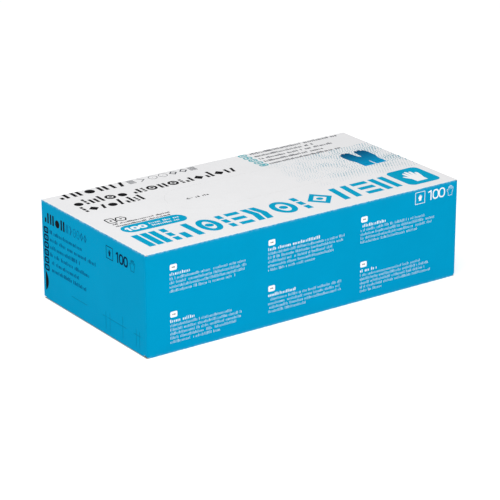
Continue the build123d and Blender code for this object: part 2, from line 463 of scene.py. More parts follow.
def board_shell(name, outer, inner, finishes, ends=(2, 2, 2, 2), wear=None):
    """A closed board from rows of outer and inner points in millimetres.
    ends gives the finish of the cut at the first row, last row, first column and last column."""
    rows, cols = outer.shape[:2]
    points = np.concatenate([outer.reshape(-1, 3), inner.reshape(-1, 3)]) * MM
    under = rows * cols
    grid = np.arange(under).reshape(rows, cols)
    quads, slots = [], []
    for r in range(rows - 1):
        for c in range(cols - 1):
            quad = (grid[r, c], grid[r, c + 1], grid[r + 1, c + 1], grid[r + 1, c])
            quads += [quad, tuple(v + under for v in reversed(quad))]
            slots += [0, 1]
    rims = (
        (grid[0], ends[0], 1), (grid[-1], ends[1], -1),
        (grid[:, 0], ends[2], -1), (grid[:, -1], ends[3], 1),
    )
    for line, slot, turn in rims:
        for first, second in zip(line[:-1], line[1:]):
            quad = (second, first, first + under, second + under)
            quads.append(quad if turn == 1 else tuple(reversed(quad)))
            slots.append(slot)
    mesh = bpy.data.meshes.new(name)
    mesh.from_pydata(points.tolist(), [], [tuple(int(v) for v in quad) for quad in quads])
    mesh.polygons.foreach_set("material_index", slots)
    mesh.polygons.foreach_set("use_smooth", [True] * len(quads))
    close_normals(mesh)
    mesh.set_sharp_from_angle(angle=SHARP_ANGLE)
    rub = mesh.attributes.new("wear", "FLOAT", "POINT")
    values = np.zeros(2 * under, np.float32)
    if wear is not None:
        values[:under] = np.asarray(wear, np.float32).reshape(-1)
    rub.data.foreach_set("value", values)
    for finish in finishes:
        mesh.materials.append(finish_of(finish))
    return make_object(name, mesh)


def crease_numbers():
    """Outer radius of a crease and thickness of the board, in millimetres."""
    board = bpy.context.scene.carton_board
    return board.crease_radius / MM, board.caliper / MM


def arc_angles(start, end):
    """Angles of the points along one turn of a crease, in radians."""
    count = max(2, round(abs(end - start) / 45 * CREASE_STEPS)) + 1
    return np.radians(np.linspace(start, end, count))


def spaced(low, high, step, extra=()):
    """Grid lines from low to high, closer together round the extra places."""
    lines = list(np.linspace(low, high, max(2, round((high - low) / step) + 1)))
    for place in extra:
        lines += [place + shift for shift in (-0.7, -0.4, -0.2, 0.0, 0.2, 0.4, 0.7)]
    lines = sorted(v for v in lines if low <= v <= high)
    return np.array([v for i, v in enumerate(lines) if i == 0 or v - lines[i - 1] > 0.05])


def panel_shell(name, page, across, finishes, last="crease", last_base=0.0):
    """A flat panel whose first row turns half of a crease, and whose last row does too or ends in a cut."""
    radius, caliper = crease_numbers()
    outer, inner, wear = [], [], []
    centre = INSET + radius

    def turned(edge, angles, sign):
        for angle in angles:
            shift, fall = radius * math.sin(angle), radius * math.cos(angle)
            y, depth = edge - sign * shift, centre - fall
            normal = page.out * math.cos(angle) - page.down * sign * math.sin(angle)
            point = page.corner + np.multiply.outer(across, page.right) + y * page.down - depth * page.out
            outer.append(point)
            inner.append(point - normal * caliper)
            wear.append(np.full(len(across), 0.35 + 0.65 * abs(math.sin(angle)) / math.sin(math.pi / 4)))

    low = centre
    high = page.drop - last_base - (centre if last == "crease" else 0)
    turned(low, arc_angles(45, 0)[:-1], 1)
    for y in spaced(low, high, PANEL_STEP, (low + 0.9, high - 0.9)):
        point = page.place(across, np.full(len(across), y), 0.0) / MM
        outer.append(point)
        inner.append(point - page.out * caliper)
        reach = min(y - low, high - y if last == "crease" else FAR_FROM_FOLD)
        wear.append(np.full(len(across), 0.35 * math.exp(-reach / 0.35)))
    if last == "crease":
        turned(high, arc_angles(0, 45)[1:], -1)
    return board_shell(name, np.array(outer), np.array(inner), finishes, wear=np.array(wear))


def oval(grow):
    """Outline of the mouth on the top page, grown by a margin."""
    half = (MOUTH_HIGH[0] - MOUTH_LOW[0]) / 2
    radius = (MOUTH_HIGH[1] - MOUTH_LOW[1]) / 2
    centre = HALF_WIDTH - (MOUTH_HIGH[1] + MOUTH_LOW[1]) / 2
    points = []
    for side in (1, -1):
        for angle in np.linspace(-90, 90, OVAL_STEPS):
            turn = math.radians(angle if side == 1 else angle + 180)
            points.append((
                HALF_LENGTH + side * (half - radius) + (radius + grow) * math.cos(turn),
                centre + (radius + grow) * math.sin(turn),
            ))
    return points


def trim(target, outline, operation):
    """Cuts a board with a prism drawn on the top page, or keeps only what lies inside it."""
    page = page_of("top")
    bm = bmesh.new()
    rings = [
        [bm.verts.new(Vector((page.corner + x * page.right + y * page.down - d * page.out) * MM))
         for x, y in outline] for d in (-3.0, 3.0)
    ]
    bm.faces.new(rings[0])
    bm.faces.new(rings[1])
    for i in range(len(outline)):
        j = (i + 1) % len(outline)
        bm.faces.new((rings[0][i], rings[0][j], rings[1][j], rings[1][i]))
    bmesh.ops.recalc_face_normals(bm, faces=bm.faces)
    for face in bm.faces:
        face.material_index = 2
    mesh = bpy.data.meshes.new("cutter")
    bm.to_mesh(mesh)
    bm.free()
    for material in target.data.materials:
        mesh.materials.append(material)
    cutter = make_object("cutter", mesh)
    modifier = target.modifiers.new("Trim", "BOOLEAN")
    modifier.operation, modifier.object, modifier.solver = operation, cutter, "EXACT"
    modifier.material_mode = "INDEX"
    settle(target)
    bpy.data.objects.remove(cutter, do_unlink=True)
    target.data.set_sharp_from_angle(angle=SHARP_ANGLE)
    return target


def settle(target):
    """Replaces an object's mesh by what its modifiers make of it, and removes them."""
    depsgraph = bpy.context.evaluated_depsgraph_get()
    mesh = bpy.data.meshes.new_from_object(target.evaluated_get(depsgraph), depsgraph=depsgraph)
    target.modifiers.clear()
    target.data = mesh
    mesh.name = target.name
    return target


def settle_on(target, body, slot, *nodes):
    """Rides a piece on its body and hides the CAD nodes that it stands for; slot is not used."""
    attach(target, body)
    if nodes:
        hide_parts(*nodes)
    return target


# ---------------------------------------------------------------- flat artwork

def rect(x0, y0, x1, y1):
    """A plain rectangle."""
    return [(x0, y0), (x1, y0), (x1, y1), (x0, y1)]


def rounded(x0, y0, x1, y1, radius, steps=6):
    """A rectangle with rounded corners."""
    points = []
    corners = ((x1 - radius, y0 + radius, -90), (x1 - radius, y1 - radius, 0),
               (x0 + radius, y1 - radius, 90), (x0 + radius, y0 + radius, 180))
    for cx, cy, start in corners:
        for i in range(steps + 1):
            angle = math.radians(start + 90 * i / steps)
            points.append((cx + radius * math.cos(angle), cy + radius * math.sin(angle)))
    return points


def band(cx, cy, rx, ry, width, power=2.0):
    """Quads of a ring with its width inwards; a higher power makes it squarer."""
    steps = 28

    def at(angle, ax, ay):
        c, s = math.cos(angle), math.sin(angle)
        grow = (abs(c) ** power + abs(s) ** power) ** (-1 / power)
        return cx + ax * c * grow, cy + ay * s * grow
    angles = [math.radians(360.0 * i / steps) for i in range(steps + 1)]
    outer = [at(a, rx, ry) for a in angles]
    inner = [at(a, rx - width, ry - width) for a in angles]
    return [[outer[i], outer[i + 1], inner[i + 1], inner[i]] for i in range(steps)]


def stroke(points, width, closed=False):
    """Quads of a line of even width with mitred corners."""
    pts = [np.array(p, float) for p in points]
    n = len(pts)
    left, right = [], []
    for i in range(n):
        before = pts[i - 1] if closed or i > 0 else None
        after = pts[(i + 1) % n] if closed or i < n - 1 else None
        runs = [r / np.linalg.norm(r) for r in (
            *([pts[i] - before] if before is not None else []),
            *([after - pts[i]] if after is not None else []))]
        normals = [np.array((-r[1], r[0])) for r in runs]
        mitre = sum(normals) / len(normals)
        mitre = mitre / max(0.35, mitre @ mitre)
        left.append(tuple(pts[i] + mitre * width / 2))
        right.append(tuple(pts[i] - mitre * width / 2))
    last = n if closed else n - 1
    return [[left[i], left[(i + 1) % n], right[(i + 1) % n], right[i]] for i in range(last)]


def numeral_one(x0, y0, x1, y1, width):
    """The figure one: a stem with a short slanted flag."""
    stem = rect(x1 - width, y0, x1, y1)
    flag = [
        (x1 - width, y0), (x1 - width, y0 + width * 1.15), (x0, y0 + width * 1.75), (x0, y0 + width * 0.8),
    ]
    return [stem, flag]


def hundred(x0, y0, x1, y1, width):
    """The count of one hundred in plain figures."""
    span = x1 - x0
    one = x0 + span * 0.20
    zero = span * 0.185
    shapes = numeral_one(x0, y0, one, y1, width)
    for middle in (x0 + span * 0.445, x1 - zero):
        shapes += band(middle, (y0 + y1) / 2, zero, (y1 - y0) / 2, width, power=2.6)
    return shapes


HAND = (
    (0.22, 1.0), (0.19, 0.70), (0.05, 0.52), (0.0, 0.40), (0.05, 0.35), (0.13, 0.38), (0.23, 0.50),
    (0.22, 0.16), (0.27, 0.09), (0.34, 0.10), (0.37, 0.16), (0.40, 0.44), (0.42, 0.07), (0.47, 0.0),
    (0.54, 0.0), (0.58, 0.07), (0.58, 0.43), (0.64, 0.09), (0.69, 0.04), (0.76, 0.06), (0.78, 0.13),
    (0.74, 0.46), (0.83, 0.24), (0.89, 0.20), (0.96, 0.23), (0.98, 0.30), (0.88, 0.62), (0.82, 0.76),
    (0.81, 1.0),
)


CLOSED_HAND = (
    (0.14, 1.0), (0.13, 0.66), (0.02, 0.48), (0.0, 0.22), (0.05, 0.10), (0.12, 0.05), (0.20, 0.08),
    (0.24, 0.02), (0.34, 0.0), (0.42, 0.05), (0.50, 0.01), (0.60, 0.04), (0.66, 0.11), (0.70, 0.26),
    (0.73, 0.42), (0.86, 0.40), (0.98, 0.46), (1.0, 0.55), (0.86, 0.66), (0.77, 0.76), (0.76, 1.0),
)


def hand(x0, y0, x1, y1, flip=False, outline=HAND):
    """Plain silhouette of a glove with its fingers up."""
    return [(x0 + (1 - u if flip else u) * (x1 - x0), y0 + v * (y1 - y0)) for u, v in outline]


def disc(cx, cy, radius, steps=12):
    """A filled disc."""
    angles = [2 * math.pi * i / steps for i in range(steps)]
    return [(cx + radius * math.cos(a), cy + radius * math.sin(a)) for a in angles]


def mark(kind, x0, y0, x1, y1, width):
    """One plain geometric mark that fills its cell; its strokes are as heavy as display type."""
    gap = width * 0.4
    xm, ym, wide, tall = (x0 + x1) / 2, (y0 + y1) / 2, x1 - x0, y1 - y0
    if kind == "bar":
        return [rect(x0, y0, x1, y1)]
    if kind == "beads":
        bead = (tall - 2 * gap) / 3
        return [rect(x0, y0 + i * (bead + gap), x1, y0 + i * (bead + gap) + bead) for i in range(3)]
    if kind == "disc":
        return [disc(xm, y1 - wide / 2, wide / 2, 16)]
    if kind == "diamond":
        return [[(xm, y1 - wide), (x1, y1 - wide / 2), (xm, y1), (x0, y1 - wide / 2)]]
    if kind == "slats":
        return [rect(x0, y, x1, y + width) for y in (y0, ym - width / 2, y1 - width)]
    if kind in ("steps", "fence"):
        count = max(2, round((wide + width * 0.7) / (width * 1.7)))
        between = (wide - count * width) / (count - 1)
        rises = np.linspace(0.45, 1.0, count) if kind == "steps" else np.ones(count)
        return [rect(x0 + i * (width + between), y1 - tall * rise, x0 + i * (width + between) + width, y1)
                for i, rise in enumerate(rises)]
    if kind in ("slash", "slashes"):
        count = 1 if kind == "slash" else 2
        lean = wide - count * width - (count - 1) * 2.4 * gap
        return [[(x, y1), (x + width, y1), (x + width + lean, y0), (x + lean, y0)]
                for x in (x0, x0 + width + 2.4 * gap)[:count]]
    if kind == "chevrons":
        reach = wide - 2.3 * width
        return [quad for x in (x0, x0 + 1.3 * width) for quad in (
            [(x, y0), (x + width, y0), (x + width + reach, ym), (x + reach, ym)],
            [(x + reach, ym), (x + width + reach, ym), (x + width, y1), (x, y1)])]
    if kind == "target":
        return band(xm, ym, wide / 2, tall / 2, width * 0.86) + [disc(xm, ym, width * 0.62, 14)]
    if kind == "lozenge":
        ring = [(xm, y0), (x1, ym), (xm, y1), (x0, ym)]
        core = [(xm + (x - xm) * 0.56, ym + (y - ym) * 0.56) for x, y in ring]
        return [[ring[i], ring[(i + 1) % 4], core[(i + 1) % 4], core[i]] for i in range(4)] + [
            disc(xm, ym, width * 0.5, 14)]
    raise ValueError(f"there is no mark called {kind}")


BOLD_MARKS = {  # each mark's width, in strokes
    "bar": 1.0, "target": 3.7, "beads": 1.0, "slash": 1.8, "disc": 3.0, "steps": 2.7, "diamond": 3.5,
    "fence": 2.7,
}
OPEN_MARKS = ("target", "slats", "lozenge", "fence", "chevrons")


def mark_row(x0, x1, top, foot, width, seed, gap=1.0, low_share=0.0):
    """A row of solid marks that fills a line with the weight and rhythm of bold type."""
    dice = np.random.default_rng(seed)
    names, row = list(BOLD_MARKS), []
    while sum(BOLD_MARKS[kind] + gap for kind in row) * width < x1 - x0 - width:
        choice = names[int(dice.integers(0, len(names)))]
        if not row or row[-1] != choice:
            row.append(choice)
    space = (x1 - x0 - sum(BOLD_MARKS[kind] for kind in row) * width) / (len(row) - 1)
    shapes, x = [], x0
    for kind in row:
        low = top + (foot - top) * 0.27 if dice.random() < low_share else top
        size = BOLD_MARKS[kind] * width
        if kind == "target":
            low = foot - size
        shapes += mark(kind, x, low, x + size, foot, width)
        x += size + space
    return shapes


def open_row(x0, x1, top, foot, width, count, seed):
    """A row of open marks in thin strokes."""
    dice = np.random.default_rng(seed)
    pitch = (x1 - x0) / count
    shapes = []
    for i in range(count):
        kind = OPEN_MARKS[int(dice.integers(0, len(OPEN_MARKS)))]
        x = x0 + i * pitch
        cell = foot - top if kind in ("target", "lozenge") else pitch * 0.62
        shapes += mark(kind, x, top, x + min(cell, pitch * 0.8), foot, width)
    return shapes


def press(name, page, shapes, finish, body, layer=0, slot="white_board"):
    """Prints flat shapes on a page as closed films of ink that follow the board."""
    bm = bmesh.new()
    for shape in shapes:
        turn = sum(x0 * y1 - x1 * y0 for (x0, y0), (x1, y1) in zip(shape, (*shape[1:], shape[0])))
        outline = shape if turn > 0 else shape[::-1]
        bm.faces.new([bm.verts.new((x, y, 0.0)) for x, y in outline])
    bmesh.ops.remove_doubles(bm, verts=bm.verts, dist=0.004)
    bounds = np.array([v.co for v in bm.verts])
    for axis, normal in ((0, Vector((1, 0, 0))), (1, Vector((0, 1, 0)))):
        for place in np.arange(bounds[:, axis].min() + INK_SPAN, bounds[:, axis].max(), INK_SPAN):
            bmesh.ops.bisect_plane(
                bm, geom=bm.verts[:] + bm.edges[:] + bm.faces[:], plane_co=normal * place, plane_no=normal
            )
    bm.verts.index_update()
    flat = np.array([v.co for v in bm.verts])
    sheets = [[v.index for v in face.verts] for face in bm.faces]
    bm.free()
    mesh = bpy.data.meshes.new(name)
    low, high = INK_LAYERS[layer]
    points = [page.place(flat[:, 0], flat[:, 1], np.full(len(flat), lift)) for lift in (low, high)]
    mesh.from_pydata(np.concatenate(points).tolist(), [], closed_film(sheets, len(flat)))
    mesh.materials.append(finish_of(finish))
    return settle_on(make_object(name, mesh), body, slot)


def closed_film(sheets, under):
    """Faces of a closed film from its flat sheets: the upper skin's points follow the lower skin's.
    A page is left-handed, so a sheet that runs anticlockwise on it faces the board."""
    uses = {}
    for sheet in sheets:
        for pair in zip(sheet, (*sheet[1:], sheet[0])):
            uses.setdefault(frozenset(pair), []).append(pair)
    faces = [tuple(sheet) for sheet in sheets]
    faces += [tuple(v + under for v in reversed(sheet)) for sheet in sheets]
    faces += [(a, a + under, b + under, b) for pairs in uses.values() if len(pairs) == 1 for a, b in pairs]
    return faces


# ---------------------------------------------------------------- repeated work in Geometry Nodes

def new_layout(name, inputs):
    """A Geometry Nodes tree with its named inputs; gives the tree, its input and output nodes."""
    tree = bpy.data.node_groups.new(name, "GeometryNodeTree")
    tree.interface.new_socket("Geometry", in_out="INPUT", socket_type="NodeSocketGeometry")
    for label, kind, default in inputs:
        socket = tree.interface.new_socket(label, in_out="INPUT", socket_type=f"NodeSocket{kind}")
        if default is not None:
            socket.default_value = default
    tree.interface.new_socket("Geometry", in_out="OUTPUT", socket_type="NodeSocketGeometry")
    return tree, tree.nodes.new("NodeGroupInput").outputs, tree.nodes.new("NodeGroupOutput")


def end_layout(tree, geometry, material, output):
    """Ends a tree: real geometry with its finish."""
    real = add_node(tree, "GeometryNodeRealizeInstances", {0: geometry})
    coated = add_node(tree, "GeometryNodeSetMaterial", {"Geometry": real.outputs[0], "Material": material})
    tree.links.new(coated.outputs[0], output.inputs[0])


def run_layout(tree, name, source, values):
    """Runs a tree on a source mesh and gives the plain object that it makes."""
    made = make_object(name, source)
    modifier = made.modifiers.new("Layout", "NODES")
    modifier.node_group = tree
    for item in tree.interface.items_tree:
        if item.in_out == "INPUT" and item.name in values:
            modifier[item.identifier] = values[item.name]
    return settle(made)


def position_parts(tree):
    """The x, y and z of each point."""
    place = add_node(tree, "GeometryNodeInputPosition").outputs[0]
    return add_node(tree, "ShaderNodeSeparateXYZ", {0: place}).outputs


def vector(tree, x, y, z):
    """Three numbers joined into a vector."""
    return add_node(tree, "ShaderNodeCombineXYZ", {0: x, 1: y, 2: z}).outputs[0]


def move_points(tree, geometry, **change):
    """Geometry with its points at a Position, or moved by an Offset."""
    return add_node(tree, "GeometryNodeSetPosition", {"Geometry": geometry, **change}).outputs[0]


def random_number(tree, low, high, seed, offset):
    """A random number for each point."""
    node = add_node(tree, "FunctionNodeRandomValue", {
        2: low, 3: high, 8: calc(tree, "ADD", seed, float(offset)),
    }, data_type="FLOAT")
    return node.outputs[1]


def random_choice(tree, share, seed, offset):
    """True for a share of the points."""
    node = add_node(tree, "FunctionNodeRandomValue", {
        6: share, 8: calc(tree, "ADD", seed, float(offset)),
    }, data_type="BOOLEAN")
    return node.outputs[3]


def type_layout():
    """Lines of small type stood in for by bars: each baseline is resampled by the letter pitch."""
    if "Small Type" in bpy.data.node_groups:
        return bpy.data.node_groups["Small Type"]
    tree, given, output = new_layout("Small Type", (
        ("Letter Pitch", "Float", 1.1), ("Letter Width", "Float", 0.8), ("Low Height", "Float", 1.2),
        ("Tall Height", "Float", 1.7), ("Tall Share", "Float", 0.35), ("Letter Share", "Float", 0.84),
        ("Seed", "Int", 1), ("Finish", "Material", None),
    ))
    lines = add_node(tree, "GeometryNodeMeshToCurve", {"Mesh": given["Geometry"]})
    points = add_node(tree, "GeometryNodeResampleCurve", {
        "Curve": lines.outputs[0], "Length": given["Letter Pitch"],
    }, mode="LENGTH")
    block = add_node(tree, "GeometryNodeMeshCube", {"Size": (1.0, 1.0, 1.0)})
    block = add_node(tree, "GeometryNodeTransform", {
        "Geometry": block.outputs[0], "Translation": (0.5, -0.5, 0.5),
    })
    seed = given["Seed"]
    width = calc(tree, "MULTIPLY", given["Letter Width"], random_number(tree, 0.6, 1.15, seed, 1))
    rise = calc(tree, "SUBTRACT", given["Tall Height"], given["Low Height"])
    tall = calc(tree, "MULTIPLY", rise, random_choice(tree, given["Tall Share"], seed, 2))
    height = calc(tree, "ADD", given["Low Height"], tall)
    scale = vector(tree, width, height, 1.0)
    letters = add_node(tree, "GeometryNodeInstanceOnPoints", {
        "Points": points.outputs[0], "Selection": random_choice(tree, given["Letter Share"], seed, 3),
        "Instance": block.outputs[0], "Scale": scale,
    })
    end_layout(tree, letters.outputs[0], given["Finish"], output)
    return tree


def set_type(name, page, lines, size, finish, body, seed, layer=0, pitch=0.62, weight=0.62,
             slot="white_board"):
    """Sets lines of small type, each (left, right, baseline), at a letter height on a page."""
    source = bpy.data.meshes.new(name)
    points = [p for x0, x1, y in lines for p in ((x0, y, 0.0), (max(x0 + 0.2, x1 - size * 0.45), y, 0.0))]
    source.from_pydata(points, [(2 * i, 2 * i + 1) for i in range(len(lines))], [])
    made = run_layout(type_layout(), name, source, {
        "Letter Pitch": size * pitch, "Letter Width": size * pitch * weight, "Low Height": size * 0.7,
        "Tall Height": size, "Tall Share": 0.35, "Letter Share": 0.91, "Seed": seed,
        "Finish": finish_of(finish),
    })
    low, high = INK_LAYERS[layer]
    lay_on_page(made.data, page, low, high)
    return settle_on(made, body, slot)


def lay_on_page(mesh, page, low, high):
    """Lays a mesh drawn in page millimetres, one unit thick, on its page."""
    count = len(mesh.vertices)
    flat = np.empty(count * 3)
    mesh.vertices.foreach_get("co", flat)
    flat = flat.reshape(count, 3)
    solid = page.place(flat[:, 0], flat[:, 1], low + flat[:, 2] * (high - low))
    mesh.vertices.foreach_set("co", solid.ravel())
    mesh.flip_normals()  # a page is left-handed, so laying a mesh on it turns it inside out
    mesh.update()


CUT_MARGIN = 0.45  # bare board between the dot screen and the cut line
SMALLEST_DOT = 0.22  # share of the largest radius below which a dot is left out


def screen_layout():
    """A screen of dots that grow to the right, inside or outside the mouth's cut line."""
    if "Dot Screen" in bpy.data.node_groups:
        return bpy.data.node_groups["Dot Screen"]
    tree, given, output = new_layout("Dot Screen", (
        ("Left", "Float", 149.0), ("Top", "Float", 26.0), ("Length", "Float", 90.0), ("Drop", "Float", 52.0),
        ("Columns", "Int", 60), ("Rows", "Int", 34), ("Largest", "Float", 0.33), ("Mouth X", "Float", 120.0),
        ("Mouth Y", "Float", 53.0), ("Mouth Run", "Float", 37.0), ("Mouth Radius", "Float", 21.0),
        ("Inside", "Float", 0.0), ("Seed", "Int", 3), ("Finish", "Material", None),
    ))
    grid = add_node(tree, "GeometryNodeMeshGrid", {
        "Size X": given["Length"], "Size Y": given["Drop"], "Vertices X": given["Columns"],
        "Vertices Y": given["Rows"],
    })
    here = position_parts(tree)
    row_step = calc(tree, "DIVIDE", given["Drop"], calc(tree, "SUBTRACT", given["Rows"], 1.0))
    row = calc(tree, "DIVIDE", calc(tree, "ADD", here[1], given["Drop"]), row_step)
    odd = calc(tree, "MODULO", calc(tree, "ROUND", row), 2.0)
    half_step = calc(tree, "MULTIPLY", calc(tree, "DIVIDE", given["Length"], given["Columns"]), 0.5)
    x = calc(tree, "ADD", calc(tree, "ADD", here[0], calc(tree, "MULTIPLY", given["Length"], 0.5)),
             calc(tree, "ADD", given["Left"], calc(tree, "MULTIPLY", odd, half_step)))
    y = calc(tree, "ADD", here[1], calc(tree, "MULTIPLY", given["Drop"], 0.5))
    spot = vector(tree, x, calc(tree, "ADD", y, given["Top"]), 0.0)
    placed = move_points(tree, grid.outputs[0], Position=spot)

    at = position_parts(tree)
    along = calc(tree, "DIVIDE", calc(tree, "SUBTRACT", at[0], given["Left"]), given["Length"])
    along = remap(tree, along, 0.0, 1.0, 0.0, 1.0)
    down = calc(tree, "DIVIDE", calc(tree, "SUBTRACT", at[1], given["Top"]), given["Drop"])
    foot = remap(tree, down, 0.78, 1.0, 1.0, 0.45)
    cloud = add_node(tree, "ShaderNodeTexNoise", {
        "Vector": add_node(tree, "GeometryNodeInputPosition").outputs[0], "Scale": 0.09, "Detail": 2.0,
    }).outputs[0]
    swirl = remap(tree, cloud, 0.35, 0.65, 0.45, 1.15)
    grow = calc(tree, "MULTIPLY", calc(tree, "POWER", along, 0.42), calc(tree, "MULTIPLY", foot, swirl))
    grow = calc(tree, "MULTIPLY", grow, random_number(tree, 0.75, 1.1, given["Seed"], 1))
    radius = calc(tree, "MULTIPLY", given["Largest"], grow)

    across = calc(tree, "ABSOLUTE", calc(tree, "SUBTRACT", at[0], given["Mouth X"]))
    side = calc(tree, "MAXIMUM", calc(tree, "SUBTRACT", across, given["Mouth Run"]), 0.0)
    rise = calc(tree, "SUBTRACT", at[1], given["Mouth Y"])
    away = calc(tree, "ADD", calc(tree, "MULTIPLY", side, side), calc(tree, "MULTIPLY", rise, rise))
    away = calc(tree, "SQRT", away)
    within = calc(tree, "LESS_THAN", away, calc(tree, "SUBTRACT", given["Mouth Radius"], CUT_MARGIN))
    beyond = calc(tree, "GREATER_THAN", away, calc(tree, "ADD", given["Mouth Radius"], CUT_MARGIN))
    within = calc(tree, "MULTIPLY", within, given["Inside"])
    beyond = calc(tree, "MULTIPLY", beyond, calc(tree, "SUBTRACT", 1.0, given["Inside"]))
    chosen = calc(tree, "ADD", within, beyond)
    kept = calc(tree, "MULTIPLY", chosen, calc(tree, "GREATER_THAN", grow, SMALLEST_DOT))

    dot = add_node(tree, "GeometryNodeMeshCylinder", {"Vertices": 7, "Radius": 1.0, "Depth": 1.0})
    dot = add_node(tree, "GeometryNodeTransform", {
        "Geometry": dot.outputs[0], "Translation": (0.0, 0.0, 0.5),
    })
    size = vector(tree, radius, radius, 1.0)
    dots = add_node(tree, "GeometryNodeInstanceOnPoints", {
        "Points": placed, "Selection": kept, "Instance": dot.outputs[0], "Scale": size,
    })
    end_layout(tree, dots.outputs[0], given["Finish"], output)
    return tree


def tie_layout():
    """Uncut ties of board spaced evenly round a closed cut line."""
    tree, given, output = new_layout("Perforation Ties", (
        ("Count", "Int", 44), ("Tie Length", "Float", 0.9), ("Tie Width", "Float", 0.08), ("Seed", "Int", 5),
        ("Finish", "Material", None),
    ))
    line = add_node(tree, "GeometryNodeMeshToCurve", {"Mesh": given["Geometry"]})
    points = add_node(tree, "GeometryNodeResampleCurve", {
        "Curve": line.outputs[0], "Count": given["Count"],
    }, mode="COUNT")
    tangent = add_node(tree, "GeometryNodeInputTangent")
    facing = add_node(tree, "FunctionNodeAlignRotationToVector", {"Vector": tangent.outputs[0]}, axis="X")
    block = add_node(tree, "GeometryNodeMeshCube", {"Size": (1.0, 1.0, 1.0)})
    length = calc(tree, "MULTIPLY", given["Tie Length"], random_number(tree, 0.75, 1.2, given["Seed"], 1))
    size = vector(tree, length, given["Tie Width"], 1.0)
    ties = add_node(tree, "GeometryNodeInstanceOnPoints", {
        "Points": points.outputs[0], "Instance": block.outputs[0], "Rotation": facing.outputs[0],
        "Scale": size,
    })
    end_layout(tree, ties.outputs[0], given["Finish"], output)
    return tree


def stack_layout():
    """A bundle of gloves, each turned half round from the one below and lying on its ripples."""
    if "Glove Stack" in bpy.data.node_groups:
        return bpy.data.node_groups["Glove Stack"]
    tree, given, output = new_layout("Glove Stack", (
        ("Count", "Int", 10), ("First Level", "Int", 0), ("Pitch", "Float", 0.55), ("Base", "Float", 3.9),
        ("Stack Height", "Float", 54.0), ("Ripple", "Float", 1.6), ("Stray", "Float", 0.9),
        ("Fine Ripple", "Float", 0.0), ("Seed", "Int", 7), ("Finish", "Material", None),
    ))
    line = add_node(tree, "GeometryNodeMeshLine", {"Count": given["Count"], "Offset": (0.0, 0.0, 0.0)})
    level = calc(tree, "ADD", add_node(tree, "GeometryNodeInputIndex").outputs[0], given["First Level"])
    height = calc(tree, "ADD", given["Base"], calc(tree, "MULTIPLY", level, given["Pitch"]))
    seed = calc(tree, "ADD", given["Seed"], given["First Level"])
    shift_x = calc(tree, "MULTIPLY", random_number(tree, -1.0, 1.0, seed, 1), given["Stray"])
    shift_y = calc(tree, "MULTIPLY", random_number(tree, -1.0, 1.0, seed, 2), given["Stray"])
    points = move_points(tree, line.outputs[0], Position=vector(tree, shift_x, shift_y, height))
    half_turn = calc(tree, "MULTIPLY", calc(tree, "MODULO", level, 2.0), math.pi)
    turn = calc(tree, "ADD", half_turn, random_number(tree, -0.006, 0.006, seed, 3))
    gloves = add_node(tree, "GeometryNodeInstanceOnPoints", {
        "Points": points, "Instance": given["Geometry"], "Rotation": vector(tree, 0.0, 0.0, turn),
    })
    real = add_node(tree, "GeometryNodeRealizeInstances", {0: gloves.outputs[0]})
    at = position_parts(tree)
    flat = vector(tree, calc(tree, "MULTIPLY", at[0], 0.6), at[1], calc(tree, "MULTIPLY", at[2], 0.12))
    swell = add_node(tree, "ShaderNodeTexNoise", {"Vector": flat, "Scale": 0.045, "Detail": 2.0}).outputs[0]
    crinkle = add_node(tree, "ShaderNodeTexNoise", {"Vector": flat, "Scale": 0.13, "Detail": 3.0}).outputs[0]
    share = calc(tree, "DIVIDE", calc(tree, "SUBTRACT", at[2], given["Base"]), given["Stack Height"])
    wave = calc(tree, "SUBTRACT", swell, 0.45)
    wave = calc(tree, "MULTIPLY", wave, calc(tree, "MULTIPLY", share, given["Ripple"]))
    fine = calc(tree, "ABSOLUTE", calc(tree, "SUBTRACT", crinkle, 0.5))
    fine = calc(tree, "MULTIPLY", fine, given["Fine Ripple"])
    lift = calc(tree, "ADD", calc(tree, "MULTIPLY", wave, 2.0), fine)
    moved = move_points(tree, real.outputs[0], Offset=vector(tree, 0.0, 0.0, lift))
    smooth = add_node(tree, "GeometryNodeSetShadeSmooth", {"Geometry": moved})
    end_layout(tree, smooth.outputs[0], given["Finish"], output)
    return tree


# ---------------------------------------------------------------- one glove

GLOVE_CUFF_X, GLOVE_KNUCKLE_X, GLOVE_MIDDLE_Y = -114.0, 38.0, -7.0
FINGER_TIPS = (92.0, 108.0, 114.0, 100.0)
FINGER_LANES = 6  # mesh columns across one finger
FINGER_RADIUS = 10.4
BEAD_X, BEAD_SPREAD, BEAD_RISE = -113.45, 0.42, 0.16
GLOVE_COUNT, BUNDLE_SIZE = 100, 10
GLOVE_THICKNESS = 0.16
THUMB_OUTER = ((-34, 39.5), (-20, 45.5), (-4, 51.5), (14, 55.2), (28, 56.2), (38, 54.6), (43.5, 50.5))
THUMB_INNER = ((12, 40.2), (19, 40.6), (26, 41.0), (31, 41.6), (36, 42.4), (40, 44.2), (43.8, 48.5))


def glove_width(x):
    """Half width of the cuff and palm at a place along the glove."""
    return float(np.interp(x, (-114, -100, -62, -40, 0, 38), (44.6, 44.2, 42.6, 44.4, 46.4, 46.8)))


